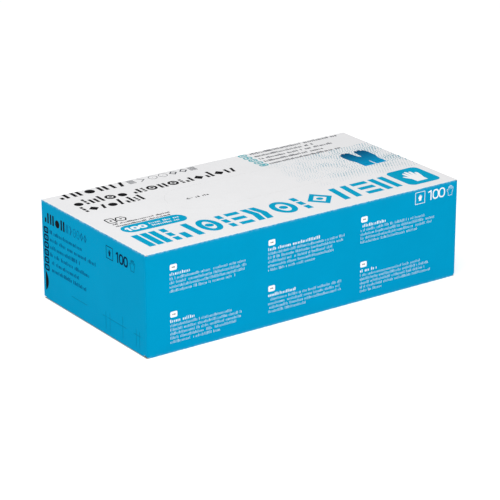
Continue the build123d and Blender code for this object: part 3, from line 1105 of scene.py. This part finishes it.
def flat_glove(fine=1):
    """One flat glove as a closed skin, in millimetres: cuff with a rolled bead, palm, fingers and thumb."""
    lanes = FINGER_LANES * fine
    across = np.linspace(-1, 1, 4 * lanes + 1)
    near_cuff = [GLOVE_CUFF_X + rise for rise in (0.0, 0.25, 0.6, 1.0, 1.5, 2.2, 4.0)]
    stations = near_cuff + list(np.linspace(-104, GLOVE_KNUCKLE_X, 20 * fine))
    points, quads = [], []

    def add_point(x, y):
        points.append((x, y))
        return len(points) - 1

    rows = [[add_point(x, GLOVE_MIDDLE_Y + a * glove_width(x)) for a in across] for x in stations]
    for low, high in zip(rows[:-1], rows[1:]):
        quads += [(low[i], low[i + 1], high[i + 1], high[i]) for i in range(len(across) - 1)]

    for finger, tip in enumerate(FINGER_TIPS):
        base = rows[-1][finger * lanes:(finger + 1) * lanes + 1]
        middle = (points[base[0]][1] + points[base[-1]][1]) / 2
        half = (points[base[-1]][1] - points[base[0]][1]) / 2
        spread = [(points[i][1] - middle) / half for i in base]
        joint = tip - FINGER_RADIUS
        along = list(np.linspace(GLOVE_KNUCKLE_X, joint, 11 * fine)[1:])
        along += [joint + FINGER_RADIUS * math.sin(a) for a in np.linspace(0, math.pi / 2, 6 * fine)[1:]]
        before = base
        for x in along:
            wide = np.interp(
                x, (GLOVE_KNUCKLE_X, GLOVE_KNUCKLE_X + 5, joint), (half, half - 1.1, FINGER_RADIUS))
            if x > joint:
                wide = max(1.2, FINGER_RADIUS * math.sqrt(max(0.0, 1 - ((x - joint) / FINGER_RADIUS) ** 2)))
            row = [add_point(x, middle + s * wide) for s in spread]
            quads += [(before[i], before[i + 1], row[i + 1], row[i]) for i in range(lanes)]
            before = row

    first = int(np.argmin([abs(x - THUMB_OUTER[0][0]) for x in stations]))
    last = int(np.argmin([abs(x - THUMB_INNER[0][0]) for x in stations]))
    base = [rows[i][-1] for i in range(first, last + 1)]
    before = base
    outer, inner = np.array(THUMB_OUTER, float), np.array(THUMB_INNER, float)
    count = 12 * fine
    for step in range(1, count + 1):
        share = step / count * (len(outer) - 1)
        left = [float(np.interp(share, range(len(outer)), outer[:, k])) for k in (0, 1)]
        right = [float(np.interp(share, range(len(inner)), inner[:, k])) for k in (0, 1)]
        row = []
        for i in range(len(base)):
            t = i / (len(base) - 1)
            row.append(add_point(left[0] + (right[0] - left[0]) * t, left[1] + (right[1] - left[1]) * t))
        quads += [(before[i], row[i], row[i + 1], before[i + 1]) for i in range(len(base) - 1)]
        before = row

    edges = {}
    for quad in quads:
        for a, b in zip(quad, (*quad[1:], quad[0])):
            edges[frozenset((a, b))] = edges.get(frozenset((a, b)), 0) + 1
    rim = np.array([points[i] for i in {i for pair, n in edges.items() if n == 1 for i in pair}])
    flat = np.array(points)
    away = np.sqrt(((flat[:, None, :] - rim[None, :, :]) ** 2).sum(2)).min(1)
    half = 0.05 + 0.13 * np.clip(away / 2.0, 0, 1)
    bead = np.exp(-(((flat[:, 0] - BEAD_X) / BEAD_SPREAD) ** 2)) * BEAD_RISE
    half = half + np.where(flat[:, 0] < near_cuff[-1], bead, 0)
    bm = bmesh.new()
    upper = [bm.verts.new((x, y, h)) for (x, y), h in zip(points, half)]
    lower = [bm.verts.new((x, y, -h)) for (x, y), h in zip(points, half)]
    for quad in quads:
        bm.faces.new([upper[i] for i in quad])
        bm.faces.new([lower[i] for i in reversed(quad)])
    for pair, n in edges.items():
        if n == 1:
            a, b = pair
            bm.faces.new((upper[a], upper[b], lower[b], lower[a]))
    bmesh.ops.recalc_face_normals(bm, faces=bm.faces)
    mesh = bpy.data.meshes.new("flat_glove")
    bm.to_mesh(mesh)
    bm.free()
    return mesh


# ---------------------------------------------------------------- operators

class CARTON_OT_walls(Operator):
    """Front, back and bottom panels with their creases, the glue flap and the glued seam"""
    bl_idname = "carton.walls"
    bl_label = "Walls and Base"

    def execute(self, context):
        radius, caliper = crease_numbers()
        low, high = (np.array(c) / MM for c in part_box("front_panel"))
        across = spaced(low[0] + HALF_LENGTH, high[0] + HALF_LENGTH, 5.0, (3.0, LENGTH - 3.0))
        front = panel_shell("front_wall", page_of("front"), across, BLUE_BOARD)
        settle_on(front, "carton", "blue_board", "front_panel")
        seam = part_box("glue_flap")[0].z / MM
        back = panel_shell("back_wall", page_of("back"), across, BLUE_BOARD, last_base=seam - INSET)
        settle_on(back, "carton", "blue_board", "back_panel")
        low, high = (np.array(c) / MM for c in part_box("bottom_panel"))
        base_across = spaced(low[0] + HALF_LENGTH, high[0] + HALF_LENGTH, 8.0)
        base = panel_shell("base_panel", page_of("bottom"), base_across, WHITE_BOARD, last="cut",
                           last_base=HALF_WIDTH - high[1])
        settle_on(base, "carton", "white_board", "bottom_panel")
        self.glue_flap(radius, caliper, seam)
        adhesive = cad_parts["glue_seam"]
        adhesive.data.materials.clear()
        adhesive.data.materials.append(finish_of("dried_adhesive"))
        return {"FINISHED"}

    def glue_flap(self, radius, caliper, seam):
        """The flap that the back panel turns in under itself, with its free corners cut back."""
        low, high = (np.array(c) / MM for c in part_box("glue_flap"))
        hinge_y, hinge_z = HALF_WIDTH - INSET - radius, seam + radius
        chamfer, columns = 6.0, 41
        share = np.linspace(-1, 1, columns)
        outer, inner = [], []
        for angle in arc_angles(45, 90):
            normal = np.array((0, math.cos(angle), -math.sin(angle)))
            y, z = hinge_y + radius * math.cos(angle), hinge_z - radius * math.sin(angle)
            line = np.stack([share * high[0], np.full(columns, y), np.full(columns, z)], 1)
            outer.append(line)
            inner.append(line - normal * caliper)
        shoulder = low[1] + chamfer
        for y in (*np.linspace(hinge_y, shoulder, 6)[1:], *np.linspace(shoulder, low[1], 4)[1:]):
            reach = high[0] - max(0.0, shoulder - y)
            line = np.stack([share * reach, np.full(columns, y), np.full(columns, seam)], 1)
            outer.append(line)
            inner.append(line + np.array((0, 0, caliper)))
        made = board_shell("glue_flap_board", np.array(outer), np.array(inner), WHITE_BOARD)
        settle_on(made, "carton", "white_board", "glue_flap")


class CARTON_OT_top(Operator):
    """Top panel with its oval mouth, the tear-out that fills it and the ties between them"""
    bl_idname = "carton.top"
    bl_label = "Top and Tear-out"

    def execute(self, context):
        board = context.scene.carton_board
        kerf = board.kerf / MM
        low, high = (np.array(c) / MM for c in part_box("top_panel"))
        across = spaced(low[0] + HALF_LENGTH, high[0] + HALF_LENGTH, 5.0, (3.0, LENGTH - 3.0))
        top = panel_shell("top_board", page_of("top"), across, WHITE_BOARD)
        trim(top, oval(kerf), "DIFFERENCE")
        settle_on(top, "carton", "white_board", "top_panel")
        tear = panel_shell("tear_out_board", page_of("top"), across, WHITE_BOARD)
        trim(tear, oval(0.0), "INTERSECT")
        settle_on(tear, "tear_out", "white_board", "tear_out_panel")
        line = oval(kerf / 2)
        source = bpy.data.meshes.new("cut_line")
        count = len(line)
        source.from_pydata([(x, y, 0.5) for x, y in line], [(i, (i + 1) % count) for i in range(count)], [])
        ties = run_layout(tie_layout(), "perforation_ties", source, {
            "Count": board.tie_count, "Tie Width": kerf * 0.96, "Finish": finish_of("cut_board"),
        })
        lay_on_page(ties.data, page_of("top"), -board.caliper / MM * 0.95, -board.caliper / MM * 0.1)
        settle_on(ties, "tear_out", "white_board", "tear_ties")
        return {"FINISHED"}


class CARTON_OT_end_flaps(Operator):
    """End flaps that hang from the top panel, and the tuck tongues at their feet"""
    bl_idname = "carton.end_flaps"
    bl_label = "End Flaps"

    def execute(self, context):
        for side, name in SIDES:
            self.end_flap(side, name)
            self.tongue(side, name)
        return {"FINISHED"}

    def end_flap(self, side, name):
        radius, caliper = crease_numbers()
        page = page_of(name)
        low, high = (np.array(c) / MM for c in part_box(f"{name}_end_flap"))
        start_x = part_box("top_panel")[1].x / MM
        marks_x = sorted({m[0] for m in END_MARKS if m[0] == m[2]})
        edge = HALF_WIDTH - high[1]
        across = spaced(edge, WIDTH - edge, 4.0, (*marks_x, edge + 1.2, WIDTH - edge - 1.2))
        flank = (across - HALF_WIDTH)[:, None] * page.right
        outer, inner, wear = [], [], []

        def add_row(x, z, normal, rub, bowed=None):
            line = flank + np.array((side * x, 0, z))
            if bowed is not None:
                line = line - page.out * bowed[:, None]
            outer.append(line)
            inner.append(line - normal * caliper)
            wear.append(np.full(len(across), rub))

        up = np.array((0, 0, 1.0))
        hinge_x, hinge_z = HALF_LENGTH - INSET - radius, HEIGHT - INSET - radius
        for x in np.linspace(start_x, hinge_x, 3)[:-1]:
            add_row(x, HEIGHT - INSET, up, 0.25)
        for angle in arc_angles(0, 90):
            normal = up * math.cos(angle) + page.out * math.sin(angle)
            add_row(hinge_x + radius * math.sin(angle), hinge_z + radius * math.cos(angle), normal,
                    0.3 + 0.7 * math.sin(2 * angle))
        foot = HEIGHT - low[2]
        curl, curl_reach = 0.10, 1.6  # how far each cut side turns in, and over what width
        marks_y = sorted({m[1] for m in END_MARKS if m[1] == m[3]})
        for y in spaced(INSET + radius, foot, 4.0, (2.0, *marks_y))[1:]:
            bow = page.sink(across, np.full(len(across), y)) - INSET
            for away in (across - edge, WIDTH - edge - across):
                bow = bow + curl * np.exp(-((away / curl_reach) ** 2))
            add_row(HALF_LENGTH - INSET, HEIGHT - y, page.out, 0.3 * math.exp(-(y - 0.6) / 0.35), bow)
        made = board_shell(f"{name}_end_board", np.array(outer), np.array(inner),
                           BLUE_BOARD, ends=(2, 2, 0, 0), wear=np.array(wear))
        self.whiten_fold(made, start_x, hinge_x + radius * 0.6)
        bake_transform(made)
        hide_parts(f"{name}_end_flap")

    def whiten_fold(self, made, from_x, to_x):
        """The white of the top runs onto the first part of the fold before the blue begins."""
        made.data.materials.append(finish_of("white_coating"))
        for face in made.data.polygons:
            x, z = abs(face.center.x) / MM, face.center.z / MM
            if face.material_index == 0 and from_x - 0.1 < x < to_x and z > HEIGHT - CREASE_DEPTH:
                face.material_index = 3

    def tongue(self, side, name):
        radius, caliper = crease_numbers()
        page = page_of(name)
        low, high = (np.array(c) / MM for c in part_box(f"{name}_tuck_tongue"))
        flap_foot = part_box(f"{name}_end_flap")[0].z / MM
        half, corner, tilt, depth = high[1], 9.0, 9.5, 13.0
        pivot_x, pivot_z = HALF_LENGTH - INSET - radius, low[2] + radius
        share = np.linspace(-1, 1, 33)
        down, inward = np.array((0, 0, -1.0)), -page.out
        outer, inner = [], []

        def add_row(middle, normal, reach):
            line = middle + np.multiply.outer(share * reach, page.right)
            outer.append(line)
            inner.append(line - normal * caliper)

        for z in np.linspace(flap_foot, pivot_z, 3)[:-1]:
            add_row(np.array((side * (HALF_LENGTH - INSET), 0, z)), page.out, half)
        for angle in arc_angles(0, 90 + tilt):
            normal = page.out * math.cos(angle) + down * math.sin(angle)
            add_row(np.array((side * pivot_x, 0, pivot_z)) + normal * radius, normal, half)
        rise = math.radians(tilt)
        along = inward * math.cos(rise) - down * math.sin(rise)
        normal = down * math.cos(rise) + page.out * -math.sin(rise)
        start = np.array((side * pivot_x, 0, pivot_z)) + normal * radius
        run = depth - 0.2
        straight = run - corner
        rounding = straight + corner * np.sin(np.radians(np.arange(9, 91, 9)))
        for step in (*np.linspace(0, straight, 4)[1:], *rounding):
            over = max(0.0, step - straight)
            reach = half - corner + math.sqrt(max(0.0, corner ** 2 - over ** 2))
            add_row(start + along * step, normal, reach)
        made = board_shell(f"{name}_tongue_board", np.array(outer), np.array(inner), BLUE_BOARD)
        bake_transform(made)
        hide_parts(f"{name}_tuck_tongue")


class CARTON_OT_dust_flaps(Operator):
    """Four dust flaps, folded in behind the end flaps from the front and the back wall"""
    bl_idname = "carton.dust_flaps"
    bl_label = "Dust Flaps"

    def execute(self, context):
        for side, end in SIDES:
            for face, wall in FACES:
                self.dust_flap(side, face, f"{end}_{wall}_dust_flap")
        return {"FINISHED"}

    def dust_flap(self, side, face, name):
        radius, caliper = crease_numbers()
        low, high = (np.array(c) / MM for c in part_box(name))
        wall_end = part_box("front_panel")[1].x / MM
        outward, sideways = np.array((0, face, 0.0)), np.array((side, 0, 0.0))
        blade_x = max(abs(low[0]), abs(high[0])) - INSET
        crease_x = HALF_LENGTH - 0.5
        tip = min(abs(low[1]), abs(high[1]))
        root = max(abs(low[1]), abs(high[1]))
        fall, climb, corner = math.tan(math.radians(31.0)), math.tan(math.radians(4.0)), 5.0
        blade_foot, shoulder, taper_run, ease_run, columns = 3.6, 2.2, 1.4, 2.6, 21
        share = np.linspace(0, 1, columns)
        outer, inner = [], []

        def add_row(x, y, normal, foot, head):
            z = foot + (head - foot) * share
            line = np.stack([np.full(columns, side * x), np.full(columns, face * y), z], 1)
            outer.append(line)
            inner.append(line - normal * caliper)

        crease_foot, crease_head = 1.0, HEIGHT - 0.75
        face_y = HALF_WIDTH - INSET
        for x in np.linspace(wall_end, crease_x - radius, 3)[:-1]:
            add_row(x, face_y, outward, crease_foot, crease_head)
        for angle in arc_angles(0, 90):
            normal = outward * math.cos(angle) + sideways * math.sin(angle)
            add_row(crease_x - radius + radius * math.sin(angle), face_y - radius + radius * math.cos(angle),
                    normal, crease_foot, crease_head)
        fold_y = face_y - radius
        crest = HEIGHT - 1.25
        bend = root - shoulder
        for y in (*np.linspace(fold_y, bend, 5)[1:], *np.linspace(bend, tip + corner, 9)[1:],
                  *(tip + corner - corner * np.sin(np.radians(np.arange(10, 91, 10))))):
            into = max(0.0, root - y)
            foot, head = blade_foot + into * climb, crest - into * fall
            near = np.clip((fold_y - y) / taper_run, 0, 1)
            foot = crease_foot + (foot - crease_foot) * near
            head = crease_head + (head - crease_head) * near
            if y < tip + corner:
                over = tip + corner - y
                bite = corner - math.sqrt(max(0.0, corner ** 2 - over ** 2))
                foot, head = foot + bite, head - bite
            ease = np.clip((fold_y - y) / ease_run, 0, 1)
            ease = ease * ease * (3 - 2 * ease)
            add_row(crease_x + (blade_x - crease_x) * ease, y, sideways, foot, head)
        made = board_shell(f"{name}_board", np.array(outer), np.array(inner), BLUE_BOARD)
        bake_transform(made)
        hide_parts(name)


class CARTON_OT_gloves(Operator):
    """The stack of gloves in bundles, with the top glove creased under the mouth"""
    bl_idname = "carton.gloves"
    bl_label = "Gloves"

    def execute(self, context):
        look = context.scene.carton_gloves
        low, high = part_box("glove_bundle_01")[0].z / MM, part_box("top_glove")[1].z / MM
        pitch = (high - low - GLOVE_THICKNESS) / (GLOVE_COUNT - 1)
        base = low + 0.2  # height of the lowest glove's middle plane
        shared = {
            "Pitch": pitch, "Base": base, "Stack Height": high - low, "Ripple": look.ripple / MM,
            "Stray": look.stray / MM, "Finish": finish_of("blue_nitrile"),
        }
        for bundle in range(GLOVE_COUNT // BUNDLE_SIZE):
            first = bundle * BUNDLE_SIZE
            size = min(BUNDLE_SIZE, GLOVE_COUNT - 1 - first)
            name = f"glove_bundle_{bundle + 1:02d}"
            made = run_layout(stack_layout(), f"gloves_{bundle + 1:02d}", flat_glove(), {
                **shared, "Count": size, "First Level": first,
            })
            self.to_metres(made)
            settle_on(made, "carton", "nitrile", name)
        top = run_layout(stack_layout(), "gloves_top", flat_glove(2), {
            **shared, "Count": 1, "First Level": GLOVE_COUNT - 1, "Fine Ripple": 9.0,
        })
        self.to_metres(top)
        settle_on(top, "carton", "nitrile", "top_glove")
        return {"FINISHED"}

    def to_metres(self, made):
        points = np.empty(len(made.data.vertices) * 3)
        made.data.vertices.foreach_get("co", points)
        made.data.vertices.foreach_set("co", points * MM)
        made.data.update()


class CARTON_OT_top_print(Operator):
    """Print on the top: headline marks, count pill, tile, glove icon, feature list and dot screen"""
    bl_idname = "carton.top_print"
    bl_label = "Top Print"

    def execute(self, context):
        page = page_of("top")
        look = context.scene.carton_print
        self.headline(page)
        black = mark_row(10.4, 58.6, 1.1, 8.9, 2.35, 4, 1.15)
        black += mark_row(11.5, 50, 15.4, 25.2, 2.05, 12, 0.6, 0.6)
        black += mark_row(55, 134, 15.4, 25.2, 2.05, 8, 0.7, 0.7)
        black += mark_row(11.5, 55, 27.4, 37.2, 2.05, 21, 0.6, 0.6)
        black += stroke(rounded(12.3, 55.6, 17.7, 63.2, 1.2, 4), 0.9, True) + [rect(14.3, 58.4, 15.7, 60.4)]
        black += stroke(disc(22.2, 59.4, 3.6, 6), 0.9, True) + [disc(22.2, 59.4, 0.9, 8)]
        press("top_bold_print", page, black, "black_print", "carton")
        press("top_light_print", page, open_row(61.8, 117, 1.9, 8.2, 0.5, 7, 17), "soft_grey_print", "carton")
        lines = ((12.3, 53.8, 66.9), (12.3, 51.5, 70.8))
        set_type("top_small_type", page, lines, 2.1, "grey_print", "carton", 31, weight=0.8)

        blue = [rounded(11.5, 71.6, 57.7, 84.5, 6.4, 10), rounded(208, 85.4, 233.4, 114.6, 4.6, 8)]
        press("top_blue_panels", page, blue, "blue_print", "carton")
        white = hundred(14.2, 75.2, 29.0, 81.2, 1.75)
        white += [hand(213.6, 90.8, 228.0, 109.6)]
        press("top_reversed_print", page, white, "white_print", "carton", 1)
        lines = ((32.0, 53.6, 77.2), (32.0, 51.8, 81.2))
        set_type("top_pill_type", page, lines, 2.3, "white_print", "carton", 33, 1)

        icon = [hand(206.0, 37.0, 219.6, 66.2, outline=CLOSED_HAND)]
        press("glove_icon_left", page, icon, "icon_print", "carton")
        icon = [hand(214.2, 37.0, 227.8, 66.2, flip=True, outline=CLOSED_HAND)]
        press("glove_icon_right", page, icon, "icon_print", "carton", 1)
        slits = []
        for x in (209.0, 211.9, 214.6, 219.2, 221.9, 224.8):
            slits += stroke(((x, 38.6), (x, 46.4)), 0.3)
        for x0, x1 in ((208.4, 215.6), (218.2, 225.4)):
            slits += stroke(((x0, 62.6), (x1, 62.6)), 0.4)
        press("glove_icon_lines", page, slits, "deep_blue_print", "carton", 2)
        self.features(page)
        arrow = stroke(((76.2, 51.9), (80.6, 51.9)), 0.55)
        arrow += stroke(((77.9, 50.5), (76.0, 51.9), (77.9, 53.3)), 0.5)
        press("tear_arrow_print", page, arrow, "grey_print", "tear_out")
        word = ((82.6, 92.3, 53.2),)
        set_type("tear_word_type", page, word, 2.5, "grey_print", "tear_out", 35, weight=0.75)

        pitch = look.dot_pitch / MM
        length, drop = 88.5, 55.0
        half = (MOUTH_HIGH[0] - MOUTH_LOW[0]) / 2
        radius = (MOUTH_HIGH[1] - MOUTH_LOW[1]) / 2
        screen = {
            "Left": 149.5, "Top": 27.5, "Length": length, "Drop": drop, "Columns": round(length / pitch),
            "Rows": round(drop / (pitch * 0.866)), "Largest": look.dot_radius / MM,
            "Mouth X": HALF_LENGTH, "Mouth Y": HALF_WIDTH - (MOUTH_HIGH[1] + MOUTH_LOW[1]) / 2,
            "Mouth Run": half - radius, "Mouth Radius": radius, "Finish": finish_of("screen_print"),
        }
        screens = (("top_dot_screen", 0.0, "carton"), ("tear_out_dot_screen", 1.0, "tear_out"))
        for name, inside, body in screens:
            source = bpy.data.meshes.new(name)
            made = run_layout(screen_layout(), name, source, {**screen, "Inside": inside})
            lay_on_page(made.data, page, *INK_LAYERS[0])
            settle_on(made, body, "white_board")
        return {"FINISHED"}

    def headline(self, page):
        """Two groups of tall abstract marks along the front of the top."""
        cells = (
            ("fence", 10.5, 27.4), ("beads", 30.2, 34.4), ("steps", 37.2, 50.6), ("target", 53.4, 68.0),
            ("beads", 71.0, 75.2), ("slats", 78.2, 88.0), ("chevrons", 90.6, 103.8),
            ("target", 108.6, 124.8), ("beads", 128.2, 132.4), ("lozenge", 135.4, 154.6),
            ("slashes", 157.0, 173.4), ("slats", 176.4, 188.6), ("fence", 191.2, 203.6),
        )
        shapes = []
        for kind, x0, x1 in cells:
            shapes += mark(kind, x0, 89.0, x1, 111.0, 4.7)
        press("headline_marks", page, shapes, "blue_print", "carton")

    def features(self, page):
        """Five small teal icons, each with a line of type beside it."""
        rows = ((1.1, 231), (6.6, 207), (12.2, 221), (17.9, 207), (23.5, 218))
        shapes = []
        for i, (y, _) in enumerate(rows):
            middle, x = y + 1.9, 150.2 + 0.35 * i
            shapes += stroke(rounded(x + 0.4, y + 0.2, x + 5.8, y + 3.7, 1.2, 3), 1.0, True)
            shapes += [
                [rect(x + 1.7, middle - 0.5, x + 4.5, middle + 0.5)],
                [rounded(x + 2.2, middle - 0.95, x + 4.0, middle + 0.95, 0.8, 4)],
                [rect(x + left, middle - 0.9, x + left + 0.9, middle + 0.9) for left in (1.6, 3.6)],
                [[(x + 1.6, middle + 0.9), (x + 3.1, middle - 1.0), (x + 4.6, middle + 0.9)]],
                [rounded(x + 1.6, middle - 0.9, x + 4.6, middle + 0.9, 0.5, 3)],
            ][i]
        press("feature_icons", page, shapes, "teal_print", "carton")
        lines = [(159.2, end, y + 3.2) for y, end in rows]
        set_type("feature_type", page, lines, 2.8, "soft_grey_print", "carton", 41, weight=0.74)


TEXT_BLOCKS = (
    (17.2, 9.8, 14.8, (55.8, 56.3, 55.0, 48.0)), (89.7, 9.8, 39.5, (59.2, 58.0, 49.5, 50.6, 36.2)),
    (161.5, 9.8, 20.0, (51.8, 60.0, 58.0, 46.0)), (17.2, 40.2, 17.8, (46.3, 52.8, 54.0, 48.6, 36.6)),
    (89.7, 40.2, 21.0, (58.0, 55.7, 56.8, 29.0)), (161.5, 40.2, 13.5, (49.0, 56.0, 53.0, 57.7, 17.7)),
)


def size_badge(page, name, finish, body, slot, box, figure, tail, ring):
    """A framed glove mark, the count of one hundred and a small outlined glove."""
    x0, y0, x1, y1 = box
    shapes = stroke(rect(x0 + ring / 2, y0 + ring / 2, x1 - ring / 2, y1 - ring / 2), ring, True)
    inner = (x1 - x0) * 0.31
    shapes.append(hand(x0 + inner, y0 + inner * 0.85, x1 - inner, y1 - inner * 0.85))
    shapes += hundred(*figure)
    shapes += stroke(hand(*tail), ring * 0.62, True)
    return press(name, page, shapes, finish, body, slot=slot)


def wall_print(page, prefix):
    """Six text blocks with their tags, and the badge at the upper right, in white on a long wall."""
    tags, heads, bodies = [], [], []
    for x, y, head, lengths in TEXT_BLOCKS:
        tags.append(rounded(x, y, x + 5.1, y + 3.8, 0.9, 4))
        heads.append((x, x + head, y + 7.1))
        bodies += [(x, x + length, y + 9.9 + 2.68 * i) for i, length in enumerate(lengths)]
    press(f"{prefix}_tags", page, tags, "white_print", "carton", slot="blue_board")
    marks = [
        rect(x + 1.5 + shift, y + 1.5, x + 2.1 + shift, y + 2.3)
        for x, y, _, _ in TEXT_BLOCKS for shift in (0, 0.9, 1.6)
    ]
    press(f"{prefix}_tag_marks", page, marks, "soft_grey_print", "carton", 1, slot="blue_board")
    set_type(f"{prefix}_heading_type", page, heads, 2.0, "white_print", "carton", 51, weight=0.5,
             slot="blue_board")
    set_type(f"{prefix}_body_type", page, bodies, 1.8, "white_print", "carton", 57, pitch=0.5, weight=0.225,
             slot="blue_board")
    size_badge(page, f"{prefix}_badge", "white_print", "carton", "blue_board",
               (205.0, 2.3, 213.0, 10.5), (215.6, 3.0, 229.6, 9.6, 0.84), (231.2, 2.9, 236.4, 9.5), 0.34)


class CARTON_OT_wall_print(Operator):
    """White print on the front and back walls"""
    bl_idname = "carton.wall_print"
    bl_label = "Wall Print"

    def execute(self, context):
        wall_print(page_of("front"), "front")
        wall_print(page_of("back"), "back")
        return {"FINISHED"}


class CARTON_OT_end_print(Operator):
    """Dark print on the two end flaps, with painted shade along their pressed lines"""
    bl_idname = "carton.end_print"
    bl_label = "End Print"

    def execute(self, context):
        for _, name in SIDES:
            page, body = page_of(name), f"{name}_end_flap"
            bold = mark_row(4.4, 28.4, 7.0, 13.8, 1.75, 4, 0.5)
            press(f"{name}_end_bold_print", page, bold, "black_print", body, slot="blue_board")
            light = open_row(30.2, 55.6, 7.8, 13.6, 0.5, 6, 17)
            press(f"{name}_end_light_print", page, light, "deep_blue_print", body, slot="blue_board")
            icons, lines = [], []
            ends = (49, 65, 46, 57, 44.6, 53)
            for i, end in enumerate(ends):
                y = 17.0 + 5.08 * i
                icons += stroke(rounded(3.2, y + 0.4, 7.5, y + 3.5, 0.6, 3), 1.3, True)
                icons.append(rounded(4.6, y + 1.55, 6.3 - 0.3 * (i % 3), y + 2.35, 0.35, 3))
                lines.append((9.8, end, y + 3.2))
            lens = [
                (0.4 + 6.2 * math.sin(math.pi * t) ** 0.42, 46.4 + 14.8 * t)
                for t in np.linspace(0.04, 0.96, 16)
            ]
            # darker strips along the pressed lines of END_MARKS: painted shade laid over the real grooves in
            # the board
            painted_groove_shade = [rect(x0 - 0.2, y0 - 0.2, x1 + 0.2, y1 + 0.2) for x0, y0, x1, y1, _ in END_MARKS]
            press(f"{name}_end_painted_groove_shade", page, painted_groove_shade, "painted_shade_blue", body, slot="blue_board")
            press(f"{name}_end_icons", page, icons, "navy_print", body, slot="blue_board")
            press(f"{name}_end_lens", page, [lens], "black_print", body, slot="blue_board")
            set_type(f"{name}_end_type", page, lines, 2.6, "deep_blue_print", body, 61, weight=0.72,
                     slot="blue_board")
            size_badge(page, f"{name}_end_badge", "navy_print", body, "blue_board",
                       (77.5, 6.9, 85.4, 15.2), (88.8, 7.6, 102.4, 14.5, 1.3), (104.2, 7.6, 110.4, 14.8), 0.5)
        return {"FINISHED"}


class CARTON_OT_base_print(Operator):
    """A few plain lines and an empty frame under the carton"""
    bl_idname = "carton.base_print"
    bl_label = "Base Print"

    def execute(self, context):
        page = page_of("bottom")
        frame_box = stroke(rounded(150, 38, 214, 82, 3.0, 5), 0.5, True)
        bars = [rounded(26, 40, 92, 44, 1.2, 4)]
        press("base_panels", page, frame_box + bars, "blue_print", "carton")
        lines = [(26, 26 + length, 52 + 4.6 * i) for i, length in enumerate((96, 92, 99, 88, 97, 61))]
        set_type("base_type", page, lines, 2.2, "grey_print", "carton", 71)
        return {"FINISHED"}


class CARTON_OT_stage(Operator):
    """Pale floor, soft studio lights and the camera"""
    bl_idname = "carton.stage"
    bl_label = "Stage"

    def execute(self, context):
        look = context.scene.carton_stage
        bm = bmesh.new()
        bmesh.ops.create_grid(bm, x_segments=2, y_segments=2, size=9.0)
        mesh = bpy.data.meshes.new("studio_floor")
        bm.to_mesh(mesh)
        bm.free()
        mesh.materials.append(backdrop_floor("studio_floor", look.floor_glow))
        make_object("studio_floor", mesh)

        world = bpy.data.worlds.new("studio_surround")
        world.use_nodes = True
        surround = world.node_tree.nodes["Background"]
        surround.inputs["Color"].default_value = (1.0, 1.0, 1.0, 1.0)
        surround.inputs["Strength"].default_value = look.world_light
        context.scene.world = world
        self.softbox("overhead_softbox", (-0.32, -0.22, 0.95), (0.9, 0.8), 5.0, (0.0, 0.0, 0.03))
        self.softbox("front_softbox", (-0.35, -1.15, 0.6), (0.8, 0.8), 4.0, (0.0, 0.0, 0.03))
        self.softbox("side_softbox", (-1.3, 0.2, 0.25), (0.5, 0.5), 0.5, (0.0, 0.0, 0.03))

        camera = bpy.data.cameras.new("studio_camera")
        camera.lens, camera.sensor_width = look.lens, 36.0
        camera.clip_start, camera.clip_end = 0.05, 60.0
        eye = bpy.data.objects.new("studio_camera", camera)
        bpy.context.collection.objects.link(eye)
        aim = Vector(CAMERA_AIM) * MM
        turn, flat = look.azimuth, math.cos(look.elevation)
        back = Vector((math.sin(turn) * flat, -math.cos(turn) * flat, math.sin(look.elevation)))
        eye.location = aim + back * look.distance
        eye.rotation_mode = "QUATERNION"
        eye.rotation_quaternion = (-back).to_track_quat("-Z", "Y")
        context.scene.camera = eye
        context.scene.view_settings.view_transform = "Standard"
        return {"FINISHED"}

    def softbox(self, name, place, size, power, aim):
        light = bpy.data.lights.new(name, "AREA")
        light.shape, light.size, light.size_y, light.energy = "RECTANGLE", *size, power
        lamp = bpy.data.objects.new(name, light)
        bpy.context.collection.objects.link(lamp)
        lamp.location = place
        lamp.rotation_mode = "QUATERNION"
        lamp.rotation_quaternion = (Vector(aim) - Vector(place)).to_track_quat("-Z", "Y")


class CARTON_PT_panel(Panel):
    """Steps that build the glove carton, in order"""
    bl_idname = "CARTON_PT_panel"
    bl_label = "Glove Carton"
    bl_space_type = "VIEW_3D"
    bl_region_type = "UI"
    bl_category = "Carton"

    def draw(self, context):
        layout = self.layout
        for group in SETTINGS:
            box = layout.box()
            settings = getattr(context.scene, group)
            for name in SETTINGS[group].__annotations__:
                box.prop(settings, name)
        for step in STEPS:
            layout.operator(step.bl_idname)


SETTINGS = {
    "carton_board": CartonBoardSettings,
    "carton_print": CartonPrintSettings,
    "carton_gloves": CartonGloveSettings,
    "carton_stage": CartonStageSettings,
}
STEPS = (
    CARTON_OT_walls, CARTON_OT_top, CARTON_OT_end_flaps, CARTON_OT_dust_flaps, CARTON_OT_gloves,
    CARTON_OT_top_print, CARTON_OT_wall_print, CARTON_OT_end_print, CARTON_OT_base_print, CARTON_OT_stage,
)


def register():
    for group in (*SETTINGS.values(), *STEPS, CARTON_PT_panel):
        bpy.utils.register_class(group)
    for name, group in SETTINGS.items():
        setattr(bpy.types.Scene, name, PointerProperty(type=group))


def unregister():
    for name in SETTINGS:
        delattr(bpy.types.Scene, name)
    for group in reversed((*SETTINGS.values(), *STEPS, CARTON_PT_panel)):
        bpy.utils.unregister_class(group)


def main():
    register()
    for step in STEPS:
        group, name = step.bl_idname.split(".")
        getattr(getattr(bpy.ops, group), name)()


if __name__ == "__main__":
    main()
